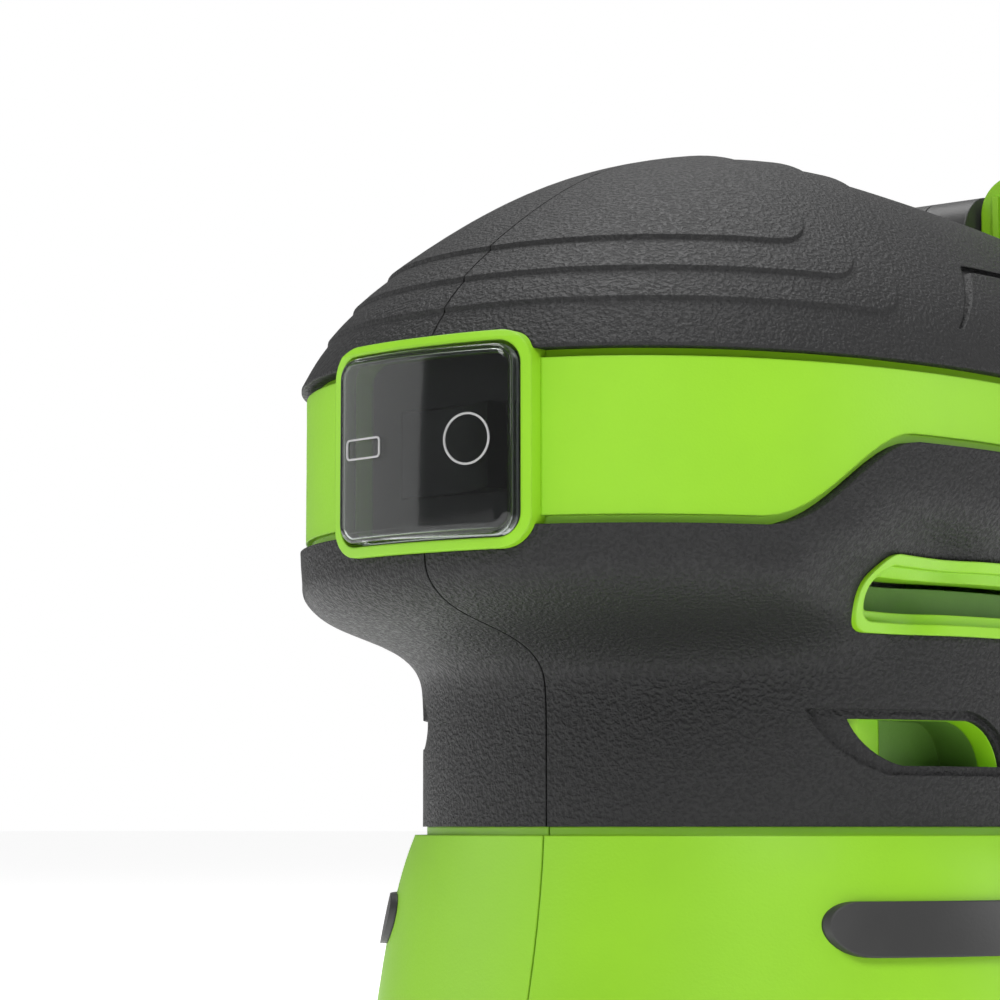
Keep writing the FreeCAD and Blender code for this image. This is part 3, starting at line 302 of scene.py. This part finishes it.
def filled_nylon():
    """Grey glass-filled nylon with a fibrous mottle."""
    finish = Finish("filled_nylon", Roughness=0.5)
    stretched = finish.node("ShaderNodeMapping", None,
                            {"Vector": finish.where(), "Scale": (1.0, 1.0, 6.0)})
    fibre = finish.noise(scale=420, detail=4, roughness=0.7, vector=stretched)
    finish.put("Base Color", finish.between(fibre, grey(0.05), grey(0.1)))
    finish.put("Roughness", 0.42 + fibre * 0.2)
    finish.relief(fibre, depth=0.00005, strength=0.6, normal=finish.rounded(radius=0.0004))
    return finish.material


def board_laminate():
    """Green circuit laminate with faint copper tracks."""
    finish = Finish("board_laminate", Roughness=0.35)
    tracks = finish.node("ShaderNodeTexBrick", {"offset": 0.3},
                         {"Vector": finish.where(), "Scale": 220.0, "Mortar Size": 0.03}, output=1)
    finish.put("Base Color", finish.between(tracks, (0.012, 0.09, 0.03, 1), (0.03, 0.17, 0.06, 1)))
    finish.put("Roughness", 0.3 + tracks * 0.15)
    finish.relief(tracks, depth=0.00004, strength=0.5)
    return finish.material


def coated_abrasive():
    """Red-brown abrasive sheet: close grit grains in resin."""
    finish = Finish("coated_abrasive", Roughness=0.85)
    grain = finish.cells(scale=2600)
    dust = finish.noise(scale=70, detail=4)
    tone = finish.between(grain, (0.32, 0.1, 0.045, 1), (0.16, 0.05, 0.025, 1))
    finish.put("Base Color", finish.between(dust * 0.3, tone, (0.5, 0.34, 0.26, 1)))
    finish.put("Roughness", 0.95 - grain * 0.3)
    finish.relief(1 - grain, depth=0.00025, strength=0.9)
    return finish.material


def hook_tape():
    """Dark hook tape, a close field of little bristles."""
    finish = Finish("hook_tape", Roughness=0.9)
    bristle = finish.cells(scale=1800, randomness=0.35)
    finish.put("Base Color", finish.between(bristle, grey(0.09), grey(0.02)))
    finish.put("Roughness", 0.8 + bristle * 0.15)
    finish.relief(1 - bristle, depth=0.0003, strength=0.8)
    return finish.material


def cell_foam():
    """Dark closed-cell foam."""
    finish = Finish("closed_cell_foam", Roughness=0.9)
    pores = finish.cells(scale=1300)
    broad = finish.noise(scale=200, detail=3)
    finish.put("Base Color", finish.between(pores * 0.7 + broad * 0.3, grey(0.03), grey(0.085)))
    finish.put("Roughness", 0.82 + pores * 0.15)
    finish.relief(pores, depth=0.0002, strength=0.8, normal=finish.rounded(radius=0.0005))
    return finish.material


def moulded_rubber():
    """Black moulded rubber."""
    finish = Finish("moulded_rubber", Roughness=0.7)
    bloom = finish.noise(scale=160, detail=4)
    finish.put("Base Color", finish.between(bloom, grey(0.018), grey(0.045)))
    finish.put("Roughness", 0.6 + bloom * 0.25)
    finish.relief(bloom, depth=0.00006, strength=0.6, normal=finish.rounded(radius=0.0004))
    return finish.material


def cell_wrap():
    """Blue shrink wrap of a cell, slightly wrinkled."""
    finish = Finish("cell_shrink_wrap", Roughness=0.25)
    crease = finish.noise(scale=180, detail=5)
    finish.put("Base Color", finish.between(crease, (0.02, 0.08, 0.25, 1), (0.03, 0.13, 0.38, 1)))
    finish.put("Roughness", 0.18 + crease * 0.2)
    finish.relief(crease, depth=0.00008, strength=0.5)
    return finish.material


def filter_paper():
    """Cream filter paper with fibres and caught dust."""
    finish = Finish("filter_paper", Roughness=0.9)
    fibre = finish.noise(scale=900, detail=5, roughness=0.7)
    dust = finish.noise(scale=60, detail=3)
    paper = finish.between(fibre, (0.55, 0.52, 0.44, 1), (0.74, 0.71, 0.62, 1))
    finish.put("Base Color", finish.between(dust * 0.4, paper, (0.4, 0.3, 0.2, 1)))
    finish.put("Roughness", 0.85 + fibre * 0.1)
    finish.relief(fibre, depth=0.0001, strength=0.6)
    return finish.material


def pale_floor():
    """Plain pale floor with a faint variation."""
    finish = Finish("pale_floor", Roughness=0.8, Emission_Color=WHITE, Emission_Strength=0.72)
    broad = finish.noise(scale=2, detail=2)
    finish.put("Base Color", finish.between(broad, grey(0.86), grey(0.9)))
    return finish.material


def lime_in_painted_shade():
    """Matt, darker lime for the walls inside the vents: the housing's lime with painted shade, as these
    walls lie in shadow.
    """
    finish = Finish("lime_plastic_in_painted_shade", Roughness=0.6)
    mottle = finish.noise(scale=300, detail=3)
    # both tones are the lime darkened as painted shade, mottled at random
    finish.put("Base Color", finish.between(mottle, (0.075, 0.17, 0.02, 1), (0.1, 0.22, 0.028, 1)))
    speck = finish.noise(scale=2600, detail=2, roughness=0.6)
    finish.put("Roughness", 0.52 + speck * 0.16)
    finish.relief(speck, depth=0.00005, strength=0.6, normal=finish.rounded(radius=0.0003))
    return finish.material


FINISHES = {
    "lime_in_painted_shade": lime_in_painted_shade,
    "mark": clear_mark,
    "green_plastic": lime_plastic,
    "soft_grip": grained_grip,
    "dark_plastic": smooth_dark,
    "clear_cover": smoked_clear,
    "black_plastic": black_moulding,
    "brass_contact": brass_contact,
    "steel": turned_steel,
    "grey_nylon": filled_nylon,
    "board": board_laminate,
    "abrasive": coated_abrasive,
    "hook_fabric": hook_tape,
    "foam": cell_foam,
    "rubber_post": moulded_rubber,
    "cell_wrap": cell_wrap,
    "filter_paper": filter_paper,
}
made_finishes = {}


def finish_for(slot):
    """The one material of a slot, made when it is first asked for."""
    if slot not in made_finishes:
        made_finishes[slot] = FINISHES[slot]()
    return made_finishes[slot]


# ---------------------------------------------------------------- modelling helpers

def nothing_selected():
    """Leave edit mode and deselect every object."""
    if bpy.context.object and bpy.context.object.mode != "OBJECT":
        bpy.ops.object.mode_set(mode="OBJECT")
    bpy.ops.object.select_all(action="DESELECT")


def only(thing):
    """Select one object and make it the active one."""
    nothing_selected()
    thing.select_set(True)
    bpy.context.view_layer.objects.active = thing
    return thing


def settle(thing):
    """Put the object's place, turn and size into its mesh."""
    only(thing)
    bpy.ops.object.transform_apply(location=True, rotation=True, scale=True)
    return thing


def added(name):
    """The primitive that was just added, under its own name."""
    thing = bpy.context.object
    thing.name = name
    thing.data.name = name
    return thing


def applied(thing, kind, **settings):
    """Add a modifier, set it up and apply it."""
    only(thing)
    modifier = thing.modifiers.new(kind.title(), kind)
    for label, value in settings.items():
        setattr(modifier, label, value)
    bpy.ops.object.modifier_apply(modifier=modifier.name)
    return thing


def dress(thing, slot, body, material=None):
    """Give a piece its finish, that of its slot unless a material is given, and the body it rides on."""
    thing.data.materials.clear()
    thing.data.materials.append(material or finish_for(slot))
    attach(thing, body)
    return thing


def pick(thing, kind, wanted):
    """Enter edit mode with those points, edges or faces selected whose corners all pass the test."""
    only(thing)
    bpy.ops.object.mode_set(mode="EDIT")
    bpy.ops.mesh.select_mode(type=kind)
    bpy.ops.mesh.select_all(action="DESELECT")
    bpy.ops.object.mode_set(mode="OBJECT")
    points = thing.data.vertices
    parts = {"VERT": points, "EDGE": thing.data.edges, "FACE": thing.data.polygons}[kind]
    for part in parts:
        corners = [part.co] if kind == "VERT" else [points[place].co for place in part.vertices]
        part.select = wanted(corners)
    bpy.ops.object.mode_set(mode="EDIT")


def smooth(thing):
    """Smooth shading that keeps the corners sharper than the smoothing angle."""
    only(thing)
    bpy.ops.object.shade_smooth_by_angle(angle=SMOOTH_ANGLE)
    return thing


# ---------------------------------------------------------------- sizes and colours to change

class SanderLook(bpy.types.PropertyGroup):
    """Colours and sizes of the finished sander."""

    lime: bpy.props.FloatVectorProperty(
        name="Lime", description="Colour of the moulded housing", subtype="COLOR",
        default=(0.245, 0.54, 0.009), min=0, max=1)
    grip: bpy.props.FloatVectorProperty(
        name="Grip", description="Colour of the soft overmould", subtype="COLOR",
        default=(0.0155, 0.0155, 0.016), min=0, max=1)
    boot_gap: bpy.props.FloatProperty(
        name="Boot gap", description="Gap between the switch boot and its frame",
        subtype="DISTANCE", unit="LENGTH", default=0.0003)
    boot_depth: bpy.props.FloatProperty(
        name="Boot depth", description="Depth of the boot from its face to its rim",
        subtype="DISTANCE", unit="LENGTH", default=0.0028)
    boot_corner: bpy.props.FloatProperty(
        name="Boot corner", description="Corner radius of the boot, seen from ahead",
        subtype="DISTANCE", unit="LENGTH", default=0.0026)
    boot_roll: bpy.props.FloatProperty(
        name="Boot roll", description="Radius that rolls the boot's face into its sides",
        subtype="DISTANCE", unit="LENGTH", default=0.0014)
    boot_radius: bpy.props.FloatProperty(
        name="Boot radius", description="Radius the boot bends round the nose",
        subtype="DISTANCE", unit="LENGTH", default=0.0515)
    boot_wall: bpy.props.FloatProperty(
        name="Boot wall", description="Wall thickness of the boot",
        subtype="DISTANCE", unit="LENGTH", default=0.0008)
    boot_bands: bpy.props.IntProperty(
        name="Boot bands", description="Number of upright bands in the boot's face", default=20)
    bar_place: bpy.props.FloatProperty(
        name="Bar place", description="How far the bar mark is from the middle",
        subtype="DISTANCE", unit="LENGTH", default=-0.0082)
    bar_width: bpy.props.FloatProperty(
        name="Bar width", description="Width of the bar mark",
        subtype="DISTANCE", unit="LENGTH", default=0.006)
    bar_height: bpy.props.FloatProperty(
        name="Bar height", description="Height of the bar mark",
        subtype="DISTANCE", unit="LENGTH", default=0.0024)
    ring_place: bpy.props.FloatProperty(
        name="Ring place", description="How far the ring mark is from the middle",
        subtype="DISTANCE", unit="LENGTH", default=0.008)
    ring_width: bpy.props.FloatProperty(
        name="Ring width", description="Diameter of the ring mark",
        subtype="DISTANCE", unit="LENGTH", default=0.0061)
    mark_corner: bpy.props.FloatProperty(
        name="Mark corner", description="Corner radius of the bar mark",
        subtype="DISTANCE", unit="LENGTH", default=0.0005)
    mark_thickness: bpy.props.FloatProperty(
        name="Mark thickness", description="Thickness of the raised outlines on the boot",
        subtype="DISTANCE", unit="LENGTH", default=0.0003)
    rib_count: bpy.props.IntProperty(
        name="Rib count", description="Finger ribs in each row", default=6)
    rib_pitch: bpy.props.FloatProperty(
        name="Rib pitch", description="Distance from rib to rib",
        subtype="DISTANCE", unit="LENGTH", default=0.0042)
    rib_length: bpy.props.FloatProperty(
        name="Rib length", description="Length of the battery's ribs",
        subtype="DISTANCE", unit="LENGTH", default=0.028)
    rib_width: bpy.props.FloatProperty(
        name="Rib width", description="Width of a rib",
        subtype="DISTANCE", unit="LENGTH", default=0.0018)
    rib_proud: bpy.props.FloatProperty(
        name="Rib height", description="How far a rib stands out",
        subtype="DISTANCE", unit="LENGTH", default=0.0006)
    rib_share: bpy.props.FloatProperty(
        name="Rib share", description="Share of the dust box's height that its ribs take",
        subtype="FACTOR", default=0.5)
    panel_width: bpy.props.FloatProperty(
        name="Panel width", description="Share of the battery's width that its back panel takes",
        subtype="FACTOR", default=0.62)
    panel_height: bpy.props.FloatProperty(
        name="Panel height", description="Share of the battery's height that its back panel takes",
        subtype="FACTOR", default=0.55)


class SanderStage(bpy.types.PropertyGroup):
    """Camera and light."""

    azimuth: bpy.props.FloatProperty(
        name="Azimuth", description="Direction the camera looks from, round the tool",
        subtype="ANGLE", default=math.radians(34))
    distance: bpy.props.FloatProperty(
        name="Distance", description="How far ahead of the nose the camera stands, along its view",
        subtype="DISTANCE", unit="LENGTH", default=0.36657)
    sidestep: bpy.props.FloatProperty(
        name="Sidestep", description="How far the camera stands to the right of the nose",
        subtype="DISTANCE", unit="LENGTH", default=0.03254)
    zoom: bpy.props.FloatProperty(
        name="Zoom", description="Focal length over sensor width", default=3.035)
    look_left: bpy.props.FloatProperty(
        name="Look left", description="Slope of the view to the left", default=0.0664)
    look_up: bpy.props.FloatProperty(
        name="Look up", description="Slope of the view upwards", default=0.1079)


# ---------------------------------------------------------------- operators

# walls inside the vents, given the lime darkened with painted shade instead of their slot's finish
INNER_WALLS = ("vent_baffle_left", "vent_baffle_right", "exhaust_scoop_left", "exhaust_scoop_right")


class SANDER_OT_nodes(bpy.types.Operator):
    """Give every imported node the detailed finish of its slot"""

    bl_idname = f"{PREFIX}.nodes"
    bl_label = "Finish packed nodes"

    def execute(self, context):
        slots = {part["node"]: part["material_slot"] for part in frame["record"]["subparts"]}
        for node, thing in frame["nodes"].items():
            # the vent walls take the lime with painted shade; every other node takes its slot's finish
            material = finish_for("lime_in_painted_shade" if node in INNER_WALLS else slots[node])
            thing.data.materials.clear()
            thing.data.materials.append(material)
        return {"FINISHED"}


class SANDER_OT_boot(bpy.types.Operator):
    """The clear pillow over the rocker, with its two raised outlines"""

    bl_idname = f"{PREFIX}.boot"
    bl_label = "Switch boot"

    def execute(self, context):
        look = context.scene.sander_look
        depth = look.boot_depth
        nothing_selected()
        bpy.ops.mesh.primitive_cube_add(size=1, location=(0, depth / 2, 0))
        boot = added("clear_switch_boot")
        room = BOOT_HIGH - BOOT_LOW
        boot.scale = (room.x - 2 * look.boot_gap, depth, room.z - 2 * look.boot_gap)
        settle(boot)
        self.bevel(boot, look.boot_corner, lambda ends: abs(ends[0].y - ends[1].y) > depth / 2)
        self.bevel(boot, look.boot_roll, lambda ends: max(end.y for end in ends) < NEAR)
        self.slice(boot, look.boot_bands)
        turn = boot.dimensions.x / look.boot_radius
        applied(boot, "SIMPLE_DEFORM", deform_method="BEND", deform_axis="Z", angle=turn)
        applied(boot, "SOLIDIFY", thickness=look.boot_wall, offset=-1)
        boot.location = (0, BOOT_LOW.y, BOOT_MIDDLE.z)
        settle(boot)
        smooth(boot)
        dress(boot, "clear_cover", "tool")
        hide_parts("switch_boot")
        self.marks(look)
        return {"FINISHED"}

    @staticmethod
    def bevel(thing, width, wanted):
        """Round the edges whose two ends pass the test."""
        pick(thing, "EDGE", wanted)
        bpy.ops.mesh.bevel(offset=width, segments=6, affect="EDGES")
        bpy.ops.object.mode_set(mode="OBJECT")

    @staticmethod
    def slice(thing, bands):
        """Cut the faces into upright bands, so that they can follow a bend, and open the back."""
        only(thing)
        low = min(corner[0] for corner in thing.bound_box)
        high = max(corner[0] for corner in thing.bound_box)
        back = max(corner[1] for corner in thing.bound_box)
        bpy.ops.object.mode_set(mode="EDIT")
        for band in range(1, bands):
            bpy.ops.mesh.select_all(action="SELECT")
            place = low + (high - low) * band / bands
            bpy.ops.mesh.bisect(plane_co=(place, 0, 0), plane_no=(1, 0, 0))
        pick(thing, "FACE", lambda corners: min(corner.y for corner in corners) > back - NEAR)
        bpy.ops.mesh.delete(type="FACE")
        bpy.ops.object.mode_set(mode="OBJECT")

    def marks(self, look):
        """A bar outline on the left of the boot and a ring on the right, both following its curve."""
        bar_reach = (look.bar_width / 2 - look.mark_corner, look.bar_height / 2 - look.mark_corner)
        self.mark("boot_bar_mark", look, look.bar_place, look.mark_corner, bar_reach)
        self.mark("boot_ring_mark", look, look.ring_place, look.ring_width / 2, (0, 0))

    @staticmethod
    def mark(name, look, place, rounding, reach):
        """One outline: a ring whose halves move apart by its reach each way, sideways and upwards."""
        nothing_selected()
        bpy.ops.mesh.primitive_torus_add(major_radius=rounding, minor_radius=look.mark_thickness / 2,
                                         major_segments=48, minor_segments=10)
        mark = added(name)
        for axis, shift in enumerate(reach):
            for side in (1, -1):
                move = Vector((0, 0, 0))
                move[axis] = shift * side
                pick(mark, "VERT", lambda corners: corners[0][axis] * side > HAIR)
                bpy.ops.transform.translate(value=move)
                bpy.ops.object.mode_set(mode="OBJECT")
        slope = math.asin(place / look.boot_radius)
        sag = look.boot_radius * (1 - math.cos(slope))
        mark.rotation_euler = (math.pi / 2, 0, slope)
        mark.location = (place, BOOT_LOW.y + sag, BOOT_MIDDLE.z)
        settle(mark)
        only(mark)
        bpy.ops.object.shade_smooth()
        dress(mark, "clear_cover", "tool", finish_for("mark"))


# share of how far a pill stands proud that its edges are rounded by
PILL_ROUNDING = 0.7


def pill(name, place, extent, proud):
    """A block of a given extent at a place, rounded by a share of how far it stands proud."""
    nothing_selected()
    bpy.ops.mesh.primitive_cube_add(size=1, location=place)
    block = added(name)
    block.scale = extent
    settle(block)
    only(block)
    bpy.ops.object.mode_set(mode="EDIT")
    bpy.ops.mesh.select_all(action="SELECT")
    bpy.ops.mesh.bevel(offset=proud * PILL_ROUNDING, segments=3, affect="EDGES")
    bpy.ops.object.mode_set(mode="OBJECT")
    return smooth(block)


def row_of(block, name, count, step):
    """Copies of a block at even steps, each with its own mesh; the first is the block itself."""
    made = [block]
    for place in range(1, count):
        twin = block.copy()
        twin.data = block.data.copy()
        twin.name = f"{name}_{place + 1}"
        twin.data.name = twin.name
        bpy.context.scene.collection.objects.link(twin)
        twin.location = Vector(step) * place
        settle(twin)
        made.append(twin)
    return made


class SANDER_OT_battery(bpy.types.Operator):
    """Finger ribs on both sides of the battery and a plain panel on its back"""

    bl_idname = f"{PREFIX}.battery"
    bl_label = "Battery details"

    def execute(self, context):
        look = context.scene.sander_look
        low, high, middle = span("battery_case_back")
        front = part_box("battery_case_front")[0].y
        lowest = middle.z - look.rib_pitch * (look.rib_count - 1) / 2
        extent = (2 * look.rib_proud, look.rib_length, look.rib_width)
        for outer, word in ((high.x, "left"), (low.x, "right")):
            name = f"battery_rib_{word}"
            rib = pill(name, (outer, (front + high.y) / 2, lowest), extent, look.rib_proud)
            for piece in row_of(rib, name, look.rib_count, (0, 0, look.rib_pitch)):
                dress(piece, "dark_plastic", "battery")
        wide = (high.x - low.x) * look.panel_width
        tall = (high.z - low.z) * look.panel_height
        panel = pill("battery_back_panel", (middle.x, high.y, middle.z),
                     (wide, 2 * look.rib_proud, tall), look.rib_proud)
        dress(panel, "dark_plastic", "battery")
        return {"FINISHED"}


class SANDER_OT_dust_box(bpy.types.Operator):
    """Finger ribs on both sides of the dust box"""

    bl_idname = f"{PREFIX}.dust_box"
    bl_label = "Dust box details"

    def execute(self, context):
        look = context.scene.sander_look
        low, high, middle = span("dust_box")
        foremost = middle.y - look.rib_pitch * (look.rib_count - 1) / 2
        extent = (2 * look.rib_proud, look.rib_width, (high.z - low.z) * look.rib_share)
        for outer, word in ((high.x, "left"), (low.x, "right")):
            name = f"dust_box_rib_{word}"
            rib = pill(name, (outer, foremost, middle.z), extent, look.rib_proud)
            for piece in row_of(rib, name, look.rib_count, (0, look.rib_pitch, 0)):
                dress(piece, "dark_plastic", "dust_box")
        return {"FINISHED"}


FLOOR_SIZE = 60
FLOOR_GAP = 0.2 * MM
WORLD_AS_LIGHT = 0.26
WORLD_AS_BACKDROP = 1.0
SENSOR_WIDTH = 36

# name, place, point it is aimed at, side in metres, power in watts
SOFTBOXES = (
    ("key_softbox", (0.55, -0.85, 1.25), (0.0, -0.02, 0.09), 0.8, 15),
    ("nose_softbox", (-1.25, -0.9, 0.3), (0.0, -0.06, 0.1), 1.1, 5),
    ("side_softbox", (1.4, 0.8, 0.7), (0.03, 0.0, 0.08), 0.8, 5),
    ("top_softbox", (-0.2, 0.25, 1.35), (0.0, 0.0, 0.1), 1.0, 12),
)


class SANDER_OT_stage(bpy.types.Operator):
    """Floor, soft light and the camera"""

    bl_idname = f"{PREFIX}.stage"
    bl_label = "Stage"

    def execute(self, context):
        nothing_selected()
        bpy.ops.mesh.primitive_plane_add(size=FLOOR_SIZE, location=(0, 0, CAD_BOX[0].z - FLOOR_GAP))
        floor = settle(added("pale_floor"))
        floor.data.materials.append(pale_floor())
        for softbox in SOFTBOXES:
            self.light(*softbox)
        context.scene.world = self.surround()
        context.scene.view_settings.view_transform = "Standard"
        self.camera(context, context.scene.sander_stage)
        return {"FINISHED"}

    @staticmethod
    def surround():
        """White surroundings, dimmer as a light than as a backdrop."""
        world = bpy.data.worlds.new("studio")
        world.use_nodes = True
        tree = world.node_tree
        path = tree.nodes.new("ShaderNodeLightPath")
        level = tree.nodes.new("ShaderNodeMapRange")
        level.inputs["To Min"].default_value = WORLD_AS_LIGHT
        level.inputs["To Max"].default_value = WORLD_AS_BACKDROP
        tree.links.new(path.outputs["Is Camera Ray"], level.inputs["Value"])
        back = tree.nodes["Background"]
        back.inputs["Color"].default_value = WHITE
        tree.links.new(level.outputs[0], back.inputs["Strength"])
        return world

    @staticmethod
    def light(name, place, target, size, power):
        """A square area light aimed at a point."""
        lamp = bpy.data.lights.new(name, "AREA")
        lamp.shape = "SQUARE"
        lamp.size = size
        lamp.energy = power
        thing = bpy.data.objects.new(name, lamp)
        thing.location = place
        thing.rotation_euler = (Vector(target) - Vector(place)).to_track_quat("-Z", "Y").to_euler()
        bpy.context.scene.collection.objects.link(thing)

    @staticmethod
    def camera(context, stage):
        """Stand level with the seam, ahead and to the left of the nose, and look a little up and left."""
        azimuth = stage.azimuth
        ahead = Vector((-math.sin(azimuth), math.cos(azimuth), 0))
        right = Vector((math.cos(azimuth), math.sin(azimuth), 0))
        nose = Vector((0, NOSE, SEAM))
        place = nose + right * stage.sidestep - ahead * stage.distance
        gaze = ahead - right * stage.look_left + Vector((0, 0, stage.look_up))
        lens = bpy.data.cameras.new("camera")
        lens.sensor_width = SENSOR_WIDTH
        lens.lens = stage.zoom * lens.sensor_width
        lens.clip_start = 0.01
        thing = bpy.data.objects.new("camera", lens)
        thing.location = place
        thing.rotation_euler = gaze.to_track_quat("-Z", "Y").to_euler()
        context.scene.collection.objects.link(thing)
        context.scene.camera = thing


class SANDER_PT_panel(bpy.types.Panel):
    """The sander's steps, in order"""

    bl_label = "Sander"
    bl_space_type = "VIEW_3D"
    bl_region_type = "UI"
    bl_category = "Sander"

    def draw(self, context):
        layout = self.layout
        for group in (context.scene.sander_look, context.scene.sander_stage):
            for prop in group.bl_rna.properties.keys():
                if prop not in ("rna_type", "name"):
                    layout.prop(group, prop)
        for step in STEPS:
            layout.operator(step.bl_idname)


STEPS = [SANDER_OT_nodes, SANDER_OT_boot, SANDER_OT_battery, SANDER_OT_dust_box, SANDER_OT_stage]
CLASSES = [SanderLook, SanderStage] + STEPS + [SANDER_PT_panel]


def register():
    for item in CLASSES:
        bpy.utils.register_class(item)
    bpy.types.Scene.sander_look = bpy.props.PointerProperty(type=SanderLook)
    bpy.types.Scene.sander_stage = bpy.props.PointerProperty(type=SanderStage)


def unregister():
    del bpy.types.Scene.sander_stage
    del bpy.types.Scene.sander_look
    for item in reversed(CLASSES):
        bpy.utils.unregister_class(item)


def main():
    """Run every step in order."""
    register()
    for step in STEPS:
        family, name = step.bl_idname.split(".")
        getattr(getattr(bpy.ops, family), name)()


if __name__ == "__main__":
    main()
